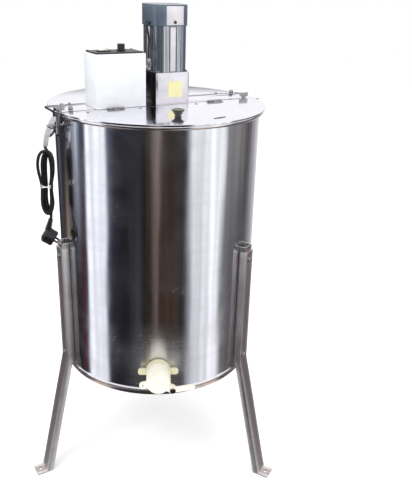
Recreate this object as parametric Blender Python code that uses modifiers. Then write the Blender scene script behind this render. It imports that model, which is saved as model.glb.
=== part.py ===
"""A motor-driven honey extractor: a stainless drum on three splayed legs, with a hinged half
lid, a crossbar that carries a gearmotor and its control box, a four-frame reel inside, and a
plastic honey gate at the foot of the drum. Metres, +Z up, the floor at z = 0."""

import math

import bmesh
import bpy
from mathutils import Matrix, Vector

# ---------------------------------------------------------------- sizes, in metres
GAP = 0.0003                # left between pieces that touch
RUN = 0.0004                # radial running clearance of anything that turns
SIDES = 72                  # sides of the drum's round sheets
BOSS_SIDES = 32             # sides of shafts and bosses
SCREW_SIDES = 12            # sides of screw shanks

DRUM_RADIUS = 0.250
DRUM_WALL = 0.0015
DRUM_FOOT = 0.302           # height of the drum's lower edge above the floor
DRUM_HEIGHT = 0.6786
RIM_ROLL = 0.0063           # radius of the rolled top rim
SWAGE_RISE = 0.014          # swaged ring above the lower edge
SWAGE_HALF = 0.005
SWAGE_OUT = 0.0025

FLOOR_RISE = 0.046          # drum floor's edge above the drum's lower edge
FLOOR_CONE = 0.022          # how much its middle stands above its edge
FLOOR_SHEET = 0.0015
FLOOR_LIP = 0.012
SEAT_RADIUS = 0.015
SEAT_FLANGE = 0.030
SEAT_HEIGHT = 0.026
SEAT_DEPTH = 0.014          # how far the reel's shaft stands in its seat

LEG_WIDTH = 0.040
LEG_DEPTH = 0.0155
LEG_SHEET = 0.0025
LEG_STAND_OFF = 0.020       # outer face of the upright part of a leg, off the drum
LEG_BELOW_RIM = 0.3356      # leg's top below the drum's top
LEG_BEND_RISE = 0.036       # where a leg bends, above the drum's lower edge
LEG_BOLT_MARGIN = 0.020     # upper bolt below the leg's top
LOWER_BOLT_RISE = 0.014     # lower bolt above the bend
LEG_SPLAY = 0.075           # how much further out the leg meets the floor
FOOT_LENGTH = 0.026         # foot plate past the leg
FOOT_SHEET = 0.003
FOOT_HOLE = 0.0045
BRACKET_PAST_LEG = 0.015    # bracket's top above the leg's top
BRACKET_PAST_BEND = 0.013   # bracket's foot below the bend
BRACKET_SHEET = 0.0025
LEG_ANGLES = {"left": -60.0, "right": 60.0, "rear": 180.0}
BOLT_SHANK = 0.003
BOLT_HEAD = 0.0062

GATE_TURN = 3.5             # degrees the outlet stands to the right of the front
GATE_HEIGHT = 0.377         # height of the outlet's axis
OUTLET_RADIUS = 0.021
OUTLET_BORE = 0.0185
OUTLET_LENGTH = 0.0185      # how far the socket stands out of the drum
NUT_RADIUS = 0.030
NUT_OFF = 0.0035            # nut's back face off the drum
NUT_THICK = 0.0135
NUT_EAR_REACH = 0.049
NUT_EAR_WIDTH = 0.014
BODY_RADIUS = 0.029
BODY_OFF = 0.0190           # gate body's back face off the drum
BODY_LENGTH = 0.0410
LUG_THICK = 0.007
PIVOT_X = 0.034
PIVOT_Z = -0.018
LOCK_X = -0.037
LOCK_Z = -0.008
LUG_RADIUS = 0.0085
LOCK_HOLE = 0.003
BLADE_RADIUS = 0.0265
BLADE_THICK = 0.006
HANDLE_END_X = 0.080
HANDLE_END_Z = -0.011
HANDLE_HALF = 0.0068
PIVOT_SHANK = 0.003
PIVOT_HEAD = 0.007
PIVOT_HEAD_HEIGHT = 0.0035

BEAM_TURN = 30.0            # degrees the crossbar is turned from +X
BEAM_PAST_DRUM = 0.018      # crossbar's ends past the drum
BEAM_WIDTH = 0.100
SHEET = 0.0015              # crossbar and covers
BEAM_FLANGE = 0.022
FLANGE_CLEAR = 0.008        # crossbar's side flanges stop this far short of the drum
END_LIP = 0.005
END_TAB = 0.050
END_TAB_WIDTH = 0.022
SHAFT_HOLE = 0.013

LID_PAST_DRUM = 0.014       # covers' edge past the drum
LID_LIP = 0.004
LID_SLOT = 0.0012           # between a cover's straight edge and the crossbar
HINGE_PLACE = 0.133         # each hinge's middle from the crossbar's middle
HINGE_LENGTH = 0.040
HINGE_PIN = 0.0012
KNUCKLE = 0.0026
LEAF = 0.0012
LEAF_WIDTH = 0.009
KNOB_ALONG = -0.043
KNOB_ACROSS = -0.182
KNOB_RADIUS = 0.0148
KNOB_NECK = 0.0055
KNOB_HEIGHT = 0.018

GEARBOX_SIDE = 0.090
GEARBOX_HEIGHT = 0.075
GEARBOX_BORE = 0.036
GEARBOX_FLOOR = 0.012
GEAR_OFFSET = 0.018         # motor's axis from the drum's axis, along the crossbar
GEAR_MODULE = 0.00075
PINION_TEETH = 8
WHEEL_TEETH = 40
WHEEL_THICK = 0.010
MOTOR_SIDE = 0.086
MOTOR_CORNER = 0.022
MOTOR_HEIGHT = 0.104
MOTOR_BORE = 0.035
ROTOR_RADIUS = 0.033
ROTOR_LENGTH = 0.070
ROTOR_SHAFT = 0.004
CAP_SIDE = 0.092
CAP_HEIGHT = 0.047
CAP_WALL = 0.002
FAN_RADIUS = 0.036
FAN_HEIGHT = 0.014
OUTPUT_SHAFT = 0.007
OUTPUT_DROP = 0.034         # output shaft below the crossbar's top

BOX_ALONG = -0.114          # middle of the control box along the crossbar
BOX_ACROSS = -0.006
BOX_WIDTH = 0.124
BOX_DEPTH = 0.070
BOX_HEIGHT = 0.121
BOX_SHEET = 0.0015
PANEL_INSET = 0.004
PANEL_THICK = 0.003
DIAL_ALONG = -0.097
DIAL_ACROSS = -0.004
DIAL_RADIUS = 0.0085
DIAL_SKIRT = 0.0110
DIAL_HEIGHT = 0.015
DIAL_SHAFT = 0.003
SWITCH_ALONG = -0.142
SWITCH_ACROSS = -0.008
SWITCH_LENGTH = 0.030
SWITCH_WIDTH = 0.014
BEZEL_RIM = 0.003
BEZEL_THICK = 0.002
ROCKER_RISE = 0.0045

SHAFT_RADIUS = 0.008
COUPLING_RADIUS = 0.013
COUPLING_LENGTH = 0.036
BASKET_CLEAR = 0.050        # outer face of a basket from the drum
BASKET_WIDTH = 0.236
BASKET_DEPTH = 0.046
REEL_HEADROOM = 0.0815      # baskets' tops below the crossbar's top
BASKET_WIRE = 0.003
WINDOW_COLUMNS = 4
WINDOW_ROWS = 6
SPIDER_THICK = 0.004
SPIDER_BAND = 0.008
SPIDER_ARM = 0.012
SPIDER_HUB = 0.030          # where a spider's arms part from its hub
SPIDER_CORNER = 0.6         # corner radius as a share of the half width
REEL_FOOT = 0.020           # reel's lower spider above the top of the shaft's seat

HOOK_ACROSS = -0.034
HOOK_ROD = 0.003
STUD_IN = 0.016             # crossbar's studs and bolts inside the drum's radius
STUD_ACROSS = -0.030
NUT_HUB = 0.0060
NUT_HUB_HEIGHT = 0.007
WING_REACH = 0.0125
WING_THICK = 0.0025
SCREW_DROP = 0.034          # side screw below the crossbar's top
SIDE_SCREW_ACROSS = -0.016

GLAND_HEIGHT = 0.022
GLAND_NECK = 0.0055
GLAND_OUTER = 0.0085
GLAND_END = 0.0045
GLAND_LENGTH = 0.030
LEAD_ACROSS = -0.030
LEAD_HEIGHT = 0.090
LEAD_NECK = 0.0045
LEAD_ALONG = -0.0395         # signal lead's connector, along the crossbar
LEAD_RADIUS = 0.0024
CONNECTOR_RADIUS = 0.006
CONNECTOR_TOP = 0.108
CORD_RADIUS = 0.0035
CORD_OFF_WALL = 0.0018       # gap between the drum and the cord that runs round it
CLIP_WIDTH = 0.012
CLIP_WALL = 0.003
CLIP_TALL = 0.018
CLIP_SLOT = 0.0012
CLIPS = (("cord_clip_rear", -122.0, 0.065), ("cord_clip_side", -94.0, 0.072))
HANK_AZIMUTH = -61.0
HANK_OUT = 0.038            # hank's middle off the drum
HANK_DROP = 0.0854          # hank's top below the crossbar's top
HANK_LENGTH = 0.170
HANK_WIDTH = 0.050
HANK_DEPTH = 0.020
STRAP_ALONG = 0.010         # strap's foot, out from the hank's middle
PLUG_RADIUS = 0.019
PLUG_LENGTH = 0.028
PLUG_OUT = 0.006            # plug stands this much further out than its hank

# ---------------------------------------------------------------- worked-out places
DRUM_TOP = DRUM_FOOT + DRUM_HEIGHT
DRUM_INSIDE = DRUM_RADIUS - DRUM_WALL
CLEAR_INSIDE = DRUM_INSIDE * math.cos(math.pi / SIDES) - GAP
BEAM_TOP = DRUM_TOP + GAP + SHEET
FLOOR_EDGE = DRUM_FOOT + FLOOR_RISE
FLOOR_MIDDLE = FLOOR_EDGE + FLOOR_CONE
SEAT_TOP = FLOOR_MIDDLE + SEAT_HEIGHT
LEG_TOP = DRUM_TOP - LEG_BELOW_RIM
LEG_BEND = DRUM_FOOT + LEG_BEND_RISE
BRACKET_TOP = LEG_TOP + BRACKET_PAST_LEG
BRACKET_FOOT = LEG_BEND - BRACKET_PAST_BEND
LEG_BOLT_HEIGHTS = (LEG_TOP - LEG_BOLT_MARGIN, LEG_BEND + LOWER_BOLT_RISE)
LEG_WEB_REACH = DRUM_RADIUS + LEG_STAND_OFF
LEG_TOE_REACH = LEG_WEB_REACH + LEG_SPLAY
FOOT_REACH = LEG_TOE_REACH + FOOT_LENGTH
BEAM_HALF = DRUM_RADIUS + BEAM_PAST_DRUM
LID_RADIUS = DRUM_RADIUS + LID_PAST_DRUM
RIM_REACH = DRUM_INSIDE + 2 * RIM_ROLL
HOOK_ALONG = -math.sqrt((RIM_REACH + HOOK_ROD + 2 * GAP) ** 2 - HOOK_ACROSS**2)
STUD_ALONG = DRUM_RADIUS - STUD_IN
BOLT_LEFT = (-STUD_ALONG, STUD_ACROSS)
BOLT_RIGHT = (STUD_ALONG, -STUD_ACROSS)
BASKET_FACE = DRUM_RADIUS - BASKET_CLEAR
REEL_DECK = SEAT_TOP + REEL_FOOT + SPIDER_THICK
BASKET_HEIGHT = BEAM_TOP - REEL_HEADROOM - REEL_DECK - 2 * GAP
HANK_REACH = DRUM_RADIUS + HANK_OUT
HANK_TOP = BEAM_TOP - HANK_DROP
HANK_FOOT = HANK_TOP - HANK_LENGTH
WALL_LIE = DRUM_RADIUS + CORD_RADIUS + CORD_OFF_WALL
GLAND_ALONG = BOX_ALONG + 0.002
HINGE_LINE = (BEAM_WIDTH / 2 + LID_SLOT / 2, KNUCKLE + LEAF * 0.1)
GATE_REACH = DRUM_RADIUS + BODY_OFF + BODY_LENGTH + GAP + BLADE_THICK + PIVOT_HEAD_HEIGHT
AXIS_Y = -(FOOT_REACH - GATE_REACH) / 2

# ---------------------------------------------------------------- scene and collections
for thing in list(bpy.data.objects):
    bpy.data.objects.remove(thing, do_unlink=True)

parts = bpy.data.collections.new("honey_extractor")
cutters = bpy.data.collections.new("cutters")
bpy.context.scene.collection.children.link(parts)
bpy.context.scene.collection.children.link(cutters)


def material(name, colour, roughness, metallic):
    """A Principled material in one colour."""
    made = bpy.data.materials.new(name)
    made.use_nodes = True
    shader = made.node_tree.nodes["Principled BSDF"]
    shader.inputs["Base Color"].default_value = (*colour, 1.0)
    shader.inputs["Roughness"].default_value = roughness
    shader.inputs["Metallic"].default_value = metallic
    return made


STEEL = material("polished_steel", (0.70, 0.70, 0.72), 0.15, 1.0)
BRUSHED = material("brushed_steel", (0.62, 0.61, 0.60), 0.35, 1.0)
BRIGHT = material("bright_fastener", (0.75, 0.75, 0.76), 0.22, 1.0)
WIRE = material("reel_wire", (0.60, 0.60, 0.61), 0.30, 1.0)
ALUMINIUM = material("cast_aluminium", (0.66, 0.67, 0.70), 0.35, 1.0)
BLUE_GREY = material("blue_grey_paint", (0.10, 0.14, 0.18), 0.35, 0.3)
WHITE_PAINT = material("white_paint", (0.90, 0.92, 0.95), 0.40, 0.0)
BLACK = material("black_plastic", (0.02, 0.02, 0.02), 0.40, 0.0)
IVORY = material("ivory_plastic", (0.88, 0.87, 0.78), 0.45, 0.0)
BEIGE = material("beige_plastic", (0.72, 0.68, 0.50), 0.50, 0.0)
RUBBER = material("black_rubber", (0.02, 0.02, 0.022), 0.60, 0.0)
BOARD = material("circuit_board", (0.03, 0.16, 0.07), 0.50, 0.0)
ROTOR = material("rotor_steel", (0.35, 0.35, 0.36), 0.45, 1.0)
STRAP = material("clear_strap", (0.85, 0.86, 0.88), 0.30, 0.0)


def empty(name, place, turn=0.0, parent=None):
    """A guide that carries pieces: at a place, turned about Z by so many degrees."""
    guide = bpy.data.objects.new(name, None)
    parts.objects.link(guide)
    guide.location = place
    guide.rotation_euler = (0.0, 0.0, math.radians(turn))
    guide.parent = parent
    return guide


STAND = empty("stand", (0.0, AXIS_Y, 0.0))
BEAM = empty("beam_line", (0.0, 0.0, BEAM_TOP), BEAM_TURN, STAND)
gate_angle = math.radians(GATE_TURN)
OUTLET = empty(
    "outlet_line",
    (DRUM_RADIUS * math.sin(gate_angle), -DRUM_RADIUS * math.cos(gate_angle), GATE_HEIGHT),
    GATE_TURN,
    STAND,
)


# ---------------------------------------------------------------- modelling helpers
def add(name, mesh, look, parent):
    """Puts a mesh in the model as a named piece."""
    piece = bpy.data.objects.new(name, mesh)
    parts.objects.link(piece)
    piece.parent = parent
    if look is not None:
        mesh.materials.append(look)
    return piece


def add_cutter(name, mesh, parent):
    """Puts a mesh beside the model as a cutting shape."""
    shape = bpy.data.objects.new(name, mesh)
    cutters.objects.link(shape)
    shape.parent = parent
    shape.hide_render = True
    shape.display_type = "WIRE"
    return shape


def smooth(mesh, degrees=35.0):
    mesh.shade_smooth()
    mesh.set_sharp_from_angle(angle=math.radians(degrees))


def to_mesh(form, name):
    mesh = bpy.data.meshes.new(name)
    form.to_mesh(mesh)
    form.free()
    return mesh


def box_mesh(name, size, centre):
    form = bmesh.new()
    place = Matrix.Translation(centre) @ Matrix.Diagonal((*size, 1.0))
    bmesh.ops.create_cube(form, size=1.0, matrix=place)
    return to_mesh(form, name)


def boxes_mesh(name, blocks):
    """Separate blocks in one mesh, each given as its size and its centre."""
    form = bmesh.new()
    for size, centre in blocks:
        place = Matrix.Translation(centre) @ Matrix.Diagonal((*size, 1.0))
        bmesh.ops.create_cube(form, size=1.0, matrix=place)
    return to_mesh(form, name)


def rod_matrix(start, end):
    """Turns and moves a cylinder of its own length so that it runs from start to end."""
    run = Vector(end) - Vector(start)
    middle = (Vector(start) + Vector(end)) / 2
    return Matrix.Translation(middle) @ run.to_track_quat("Z", "Y").to_matrix().to_4x4()


def rod_mesh(name, start, end, radius, sides=BOSS_SIDES, end_radius=None):
    form = bmesh.new()
    length = (Vector(end) - Vector(start)).length
    bmesh.ops.create_cone(
        form,
        cap_ends=True,
        segments=sides,
        radius1=radius,
        radius2=radius if end_radius is None else end_radius,
        depth=length,
        matrix=rod_matrix(start, end),
    )
    mesh = to_mesh(form, name)
    smooth(mesh)
    return mesh


def rods_mesh(name, runs, sides=SCREW_SIDES):
    """Separate rods in one mesh, each given as its start, its end and its radius."""
    form = bmesh.new()
    for start, end, radius in runs:
        bmesh.ops.create_cone(
            form,
            cap_ends=True,
            segments=sides,
            radius1=radius,
            radius2=radius,
            depth=(Vector(end) - Vector(start)).length,
            matrix=rod_matrix(start, end),
        )
    return to_mesh(form, name)


def turned_mesh(name, outline, sides=SIDES, closed=True):
    """A profile of (radius, height) points turned about Z. The outline runs down its outer
    side; closed joins its last point to its first, and otherwise both ends lie on the axis."""
    mesh = bpy.data.meshes.new(name)
    count = len(outline)
    edges = [(k, k + 1) for k in range(count - 1)]
    if closed:
        edges.append((count - 1, 0))
    mesh.from_pydata([(radius, 0.0, height) for radius, height in outline], edges, [])
    holder = bpy.data.objects.new(name + "_profile", mesh)
    cutters.objects.link(holder)
    screw = holder.modifiers.new("turn", "SCREW")
    screw.steps = sides
    screw.render_steps = sides
    screw.use_merge_vertices = True
    screw.merge_threshold = 0.00002
    baked = baked_mesh(holder, name)
    smooth(baked)
    return baked


def baked_mesh(holder, name):
    """The holder's evaluated mesh; the holder and its cutters are then dropped."""
    bpy.context.view_layer.update()
    graph = bpy.context.evaluated_depsgraph_get()
    baked = bpy.data.meshes.new_from_object(holder.evaluated_get(graph))
    baked.name = name
    used = [step.object for step in holder.modifiers if step.type == "BOOLEAN"]
    for thing in [holder, *used]:
        bpy.data.objects.remove(thing, do_unlink=True)
    return baked


def boolean(piece, mesh, operation, parent="same"):
    """Cuts, joins or crosses a piece with a mesh that stands in the same frame."""
    shape = add_cutter(piece.name + "_" + operation.lower(), mesh, piece.parent)
    if parent != "same":
        shape.parent = parent
    step = piece.modifiers.new(operation.lower(), "BOOLEAN")
    step.operation = operation
    step.solver = "EXACT"
    step.object = shape
    return piece


def cut(piece, mesh):
    return boolean(piece, mesh, "DIFFERENCE")


def join(piece, mesh):
    return boolean(piece, mesh, "UNION")


def plate_mesh(name, outlines, thickness, plane="XY"):
    """A flat plate from closed outlines of (u, v) points: the first is the edge, and the rest
    are holes. It lies in plane, centred on it."""
    curve = bpy.data.curves.new(name, "CURVE")
    curve.dimensions = "2D"
    curve.fill_mode = "BOTH"
    curve.extrude = thickness / 2
    for outline in outlines:
        spline = curve.splines.new("POLY")
        spline.points.add(len(outline) - 1)
        for point, (u, v) in zip(spline.points, outline):
            point.co = (u, v, 0.0, 1.0)
        spline.use_cyclic_u = True
    holder = bpy.data.objects.new(name + "_outline", curve)
    cutters.objects.link(holder)
    bpy.context.view_layer.update()
    graph = bpy.context.evaluated_depsgraph_get()
    mesh = bpy.data.meshes.new_from_object(holder.evaluated_get(graph))
    mesh.name = name
    mesh.materials.clear()
    bpy.data.objects.remove(holder, do_unlink=True)
    form = bmesh.new()
    form.from_mesh(mesh)
    bmesh.ops.remove_doubles(form, verts=form.verts, dist=0.00001)
    if plane == "XZ":
        bmesh.ops.rotate(form, verts=form.verts, matrix=Matrix.Rotation(math.pi / 2, 3, "X"))
    bmesh.ops.recalc_face_normals(form, faces=form.faces)
    form.to_mesh(mesh)
    form.free()
    return mesh


def moved(mesh, shift=(0.0, 0.0, 0.0), turn=0.0):
    """The mesh turned about Z by so many degrees and then shifted."""
    mesh.transform(Matrix.Translation(shift) @ Matrix.Rotation(math.radians(turn), 4, "Z"))
    return mesh


def arc(centre, radius, start, end, steps):
    """Points on an arc, from start to end degrees."""
    points = []
    for k in range(steps + 1):
        angle = math.radians(start + (end - start) * k / steps)
        points.append((centre[0] + radius * math.cos(angle), centre[1] + radius * math.sin(angle)))
    return points


def round_square(side, corner, steps=6):
    """A square outline with rounded corners, about the origin."""
    inset = side / 2 - corner
    points = []
    for k, (sx, sy) in enumerate(((1, 1), (-1, 1), (-1, -1), (1, -1))):
        points += arc((sx * inset, sy * inset), corner, 90 * k, 90 * k + 90, steps)
    return points


def tube(name, points, radius, look, parent, resolution=2):
    """A round tube along a smooth curve through the points, with filled ends."""
    curve = bpy.data.curves.new(name, "CURVE")
    curve.dimensions = "3D"
    curve.bevel_depth = radius
    curve.bevel_resolution = resolution
    curve.use_fill_caps = True
    spline = curve.splines.new("POLY")
    spline.points.add(len(points) - 1)
    for point, place in zip(spline.points, points):
        point.co = (*place, 1.0)
    curve.materials.append(look)
    piece = bpy.data.objects.new(name, curve)
    parts.objects.link(piece)
    piece.parent = parent
    return piece


def smooth_route(stops, spacing):
    """Evenly spaced points on a centripetal Catmull-Rom curve through the stops."""
    stops = [Vector(stop) for stop in stops]
    guides = [stops[0] * 2 - stops[1], *stops, stops[-1] * 2 - stops[-2]]
    fine = []
    for a, b, c, d in zip(guides, guides[1:], guides[2:], guides[3:]):
        t1 = (b - a).length ** 0.5
        t2 = t1 + (c - b).length ** 0.5
        t3 = t2 + (d - c).length ** 0.5
        for k in range(24):
            t = t1 + (t2 - t1) * k / 24
            ab = a.lerp(b, t / t1)
            bc = b.lerp(c, (t - t1) / (t2 - t1))
            cd = c.lerp(d, (t - t2) / (t3 - t2))
            abc = ab.lerp(bc, t / t2)
            bcd = bc.lerp(cd, (t - t1) / (t3 - t1))
            fine.append(abc.lerp(bcd, (t - t1) / (t2 - t1)))
    fine.append(stops[-1])
    length = sum((q - p).length for p, q in zip(fine, fine[1:]))
    count = max(2, round(length / spacing))
    step = length / count
    route = [fine[0]]
    walked = 0.0
    for p, q in zip(fine, fine[1:]):
        stretch = (q - p).length
        while len(route) < count and walked + stretch >= step * len(route):
            route.append(p.lerp(q, (step * len(route) - walked) / stretch))
        walked += stretch
    route.append(fine[-1])
    return route


# ---------------------------------------------------------------- drum
def drum_shell():
    """Rolled wall with a round rim, a swaged ring near its foot and the outlet's hole."""
    centre = (DRUM_INSIDE + RIM_ROLL, DRUM_TOP - RIM_ROLL)
    under = math.degrees(math.acos((DRUM_RADIUS - centre[0]) / RIM_ROLL))
    ring = DRUM_FOOT + SWAGE_RISE
    outline = arc(centre, RIM_ROLL, 180.0, -under, 12)
    outline += [
        (DRUM_RADIUS, ring + SWAGE_HALF),
        (DRUM_RADIUS + SWAGE_OUT, ring + SWAGE_HALF / 3),
        (DRUM_RADIUS + SWAGE_OUT, ring - SWAGE_HALF / 3),
        (DRUM_RADIUS, ring - SWAGE_HALF),
        (DRUM_RADIUS, DRUM_FOOT),
        (DRUM_INSIDE, DRUM_FOOT),
    ]
    shell = add("drum_shell", turned_mesh("drum_shell", outline), STEEL, STAND)
    reach = OUTLET_RADIUS + GAP
    angle = math.radians(GATE_TURN)
    aim = Vector((math.sin(angle), -math.cos(angle), 0.0))
    start = aim * (DRUM_RADIUS - 0.03) + Vector((0.0, 0.0, GATE_HEIGHT))
    end = aim * (DRUM_RADIUS + 0.03) + Vector((0.0, 0.0, GATE_HEIGHT))
    cut(shell, rod_mesh("outlet_hole", start, end, reach))


def drum_floor():
    """Coned floor with a welding lip, and the seat that the reel's shaft turns in."""
    edge = CLEAR_INSIDE
    hub = SEAT_RADIUS + GAP
    outline = [
        (hub, FLOOR_MIDDLE),
        (edge, FLOOR_EDGE),
        (edge, FLOOR_EDGE - FLOOR_LIP),
        (edge - FLOOR_SHEET, FLOOR_EDGE - FLOOR_LIP),
        (edge - FLOOR_SHEET, FLOOR_EDGE - FLOOR_SHEET),
        (hub, FLOOR_MIDDLE - FLOOR_SHEET),
    ]
    add("drum_floor", turned_mesh("drum_floor", outline), STEEL, STAND)
    bore = SHAFT_RADIUS + RUN
    under = FLOOR_MIDDLE - FLOOR_SHEET - GAP
    drop = FLOOR_CONE / (edge - hub) * (SEAT_FLANGE - hub)
    seat = [
        (bore, SEAT_TOP),
        (SEAT_RADIUS, SEAT_TOP),
        (SEAT_RADIUS, under),
        (SEAT_FLANGE, under - drop),
        (SEAT_FLANGE, under - drop - 2 * FLOOR_SHEET),
        (0.0, under - drop - 2 * FLOOR_SHEET),
    ]
    seat = [(0.0, SEAT_TOP - SEAT_DEPTH), (bore, SEAT_TOP - SEAT_DEPTH), *seat]
    mesh = turned_mesh("shaft_seat", seat, BOSS_SIDES, closed=False)
    add("shaft_seat", mesh, BEIGE, STAND)


# ---------------------------------------------------------------- legs
def leg_bracket_mesh():
    """A channel welded to the drum, its web outwards, in the frame of a leg at azimuth 0."""
    web = LEG_WEB_REACH - LEG_SHEET - GAP
    half = LEG_WIDTH / 2 - LEG_SHEET - GAP
    inner = DRUM_RADIUS + GAP
    height = BRACKET_TOP - BRACKET_FOOT
    middle = (BRACKET_TOP + BRACKET_FOOT) / 2
    depth = web - inner
    channel = box_mesh("channel", (2 * half, depth, height), (0.0, -(inner + depth / 2), middle))
    holder = add_cutter("leg_bracket_form", channel, None)
    hollow = box_mesh(
        "channel_hollow",
        (2 * (half - BRACKET_SHEET), depth, height + 0.02),
        (0.0, -(inner + depth / 2 - BRACKET_SHEET), middle),
    )
    cut(holder, hollow)
    cut(holder, leg_bolt_holes("bracket_holes"))
    return baked_mesh(holder, "leg_bracket")


def leg_bolt_holes(name):
    """Bores for a leg's two bolts."""
    runs = []
    for height in LEG_BOLT_HEIGHTS:
        start = (0.0, -(LEG_WEB_REACH - 0.02), height)
        end = (0.0, -(LEG_WEB_REACH + 0.02), height)
        runs.append((start, end, BOLT_SHANK + GAP))
    return rods_mesh(name, runs)


def leg_profile(offset, over):
    """Side view of a leg as (reach, height): its outer line moved in by offset, its ends
    carried past by over, and its inner line LEG_DEPTH behind the outer one."""
    slope = (LEG_TOE_REACH - LEG_WEB_REACH) / LEG_BEND
    lean = math.sqrt(1.0 + slope * slope)
    toe = LEG_TOE_REACH - offset * lean + slope * over
    toe_inner = LEG_TOE_REACH - (LEG_DEPTH + over) * lean + slope * over
    return [
        (LEG_WEB_REACH - offset, LEG_TOP + over),
        (LEG_WEB_REACH - offset, LEG_BEND),
        (toe, -over),
        (toe_inner, -over),
        (LEG_WEB_REACH - LEG_DEPTH - over, LEG_BEND),
        (LEG_WEB_REACH - LEG_DEPTH - over, LEG_TOP + over),
    ]


def side_plate(name, profile, width):
    """A plate that stands in the plane of a leg at azimuth 0."""
    mesh = plate_mesh(name, [[(reach, height) for reach, height in profile]], width, "XZ")
    return moved(mesh, turn=-90.0)


def leg_mesh():
    """A folded channel, upright on the drum and splayed below, with a foot plate."""
    holder = add_cutter("leg_form", side_plate("leg", leg_profile(0.0, 0.0), LEG_WIDTH), None)
    hollow = side_plate("leg_hollow", leg_profile(LEG_SHEET, 0.01), LEG_WIDTH - 2 * LEG_SHEET)
    cut(holder, hollow)
    inner = LEG_TOE_REACH - LEG_DEPTH
    foot = box_mesh(
        "foot",
        (LEG_WIDTH + 0.0002, FOOT_REACH - inner, FOOT_SHEET),
        (0.0, -(FOOT_REACH + inner) / 2, FOOT_SHEET / 2),
    )
    join(holder, foot)
    hole = (LEG_TOE_REACH + FOOT_REACH) / 2
    cut(holder, rod_mesh("foot_hole", (0, -hole, -0.01), (0, -hole, 0.01), FOOT_HOLE, SCREW_SIDES))
    cut(holder, leg_bolt_holes("leg_holes"))
    return baked_mesh(holder, "leg")


def legs():
    bracket = leg_bracket_mesh()
    leg = leg_mesh()
    for mesh, look in ((bracket, BRUSHED), (leg, BRUSHED)):
        mesh.materials.append(look)
    for side, angle in LEG_ANGLES.items():
        line = empty("leg_line_" + side, (0.0, 0.0, 0.0), angle, STAND)
        add("leg_bracket_" + side, bracket, None, line)
        add("leg_" + side, leg, None, line)


# ---------------------------------------------------------------- honey gate
def capsule(start, end, radius, steps=8):
    """Outline round a line from start to end, at a radius from it."""
    along = math.degrees(math.atan2(end[1] - start[1], end[0] - start[0]))
    points = arc(end, radius, along - 90.0, along + 90.0, steps)
    return points + arc(start, radius, along + 90.0, along + 270.0, steps)


def gate_plate(name, outlines, back, front):
    """A plate in the gate's frame, from back to front metres off the drum."""
    mesh = plate_mesh(name, outlines, front - back, "XZ")
    return moved(mesh, (0.0, -(back + front) / 2, 0.0))


def outlet_rod(name, back, front, radius, sides=BOSS_SIDES, x=0.0, z=0.0):
    return rod_mesh(name, (x, -back, z), (x, -front, z), radius, sides)


def honey_gate():
    socket = outlet_rod("outlet_socket", -0.006, OUTLET_LENGTH, OUTLET_RADIUS)
    socket = add("outlet_socket", socket, STEEL, OUTLET)
    cut(socket, outlet_rod("socket_bore", -0.02, 0.03, OUTLET_BORE))

    ring = outlet_rod("outlet_nut", NUT_OFF, NUT_OFF + NUT_THICK, NUT_RADIUS)
    nut = add("outlet_nut", ring, BEIGE, OUTLET)
    ears = capsule((-NUT_EAR_REACH + NUT_EAR_WIDTH / 2, 0.0), (NUT_EAR_REACH - NUT_EAR_WIDTH / 2, 0.0),
                   NUT_EAR_WIDTH / 2)
    join(nut, gate_plate("nut_ears", [ears], NUT_OFF + 0.002, NUT_OFF + NUT_THICK - 0.002))
    cut(nut, outlet_rod("nut_bore", 0.0, 0.03, OUTLET_RADIUS + RUN))

    back = BODY_OFF
    front = BODY_OFF + BODY_LENGTH
    body = add("gate_body", outlet_rod("gate_body", back, front, BODY_RADIUS), IVORY, OUTLET)
    middle = (0.0, 0.0)
    pivot_lug = capsule(middle, (PIVOT_X, PIVOT_Z), LUG_RADIUS)
    lock_lug = capsule(middle, (LOCK_X, LOCK_Z), LUG_RADIUS)
    join(body, gate_plate("pivot_lug", [pivot_lug], front - LUG_THICK, front - 0.0002))
    join(body, gate_plate("lock_lug", [lock_lug], front - LUG_THICK + 0.0003, front - 0.0004))
    cut(body, outlet_rod("gate_bore", 0.0, 0.1, OUTLET_BORE))
    cut(body, outlet_rod("lock_hole", 0.0, 0.1, LOCK_HOLE, SCREW_SIDES, LOCK_X, LOCK_Z))
    cut(body, outlet_rod("pivot_hole", 0.0, 0.1, PIVOT_SHANK + GAP, SCREW_SIDES, PIVOT_X, PIVOT_Z))

    face = front + GAP
    blade = outlet_rod("gate_blade", face, face + BLADE_THICK, BLADE_RADIUS)
    blade = add("gate_blade", blade, IVORY, OUTLET)
    blade_arm = capsule(middle, (PIVOT_X, PIVOT_Z), LUG_RADIUS)
    handle = capsule((PIVOT_X, PIVOT_Z), (HANDLE_END_X, HANDLE_END_Z), HANDLE_HALF)
    join(blade, gate_plate("blade_arm", [blade_arm], face + 0.0002, face + BLADE_THICK - 0.0003))
    join(blade, gate_plate("blade_handle", [handle], face + 0.0004, face + BLADE_THICK - 0.0005))
    hole = PIVOT_SHANK + RUN
    cut(blade, outlet_rod("blade_hole", 0.0, 0.1, hole, SCREW_SIDES, PIVOT_X, PIVOT_Z))

    outer = face + BLADE_THICK + GAP
    pin = outlet_rod("pin", front - LUG_THICK - 0.004, outer + 0.001, PIVOT_SHANK, SCREW_SIDES,
                     PIVOT_X, PIVOT_Z)
    screw = add("gate_pivot_screw", pin, BRIGHT, OUTLET)
    head = outlet_rod("pivot_head", outer, outer + PIVOT_HEAD_HEIGHT - GAP, PIVOT_HEAD, 16,
                      PIVOT_X, PIVOT_Z)
    join(screw, head)


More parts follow.
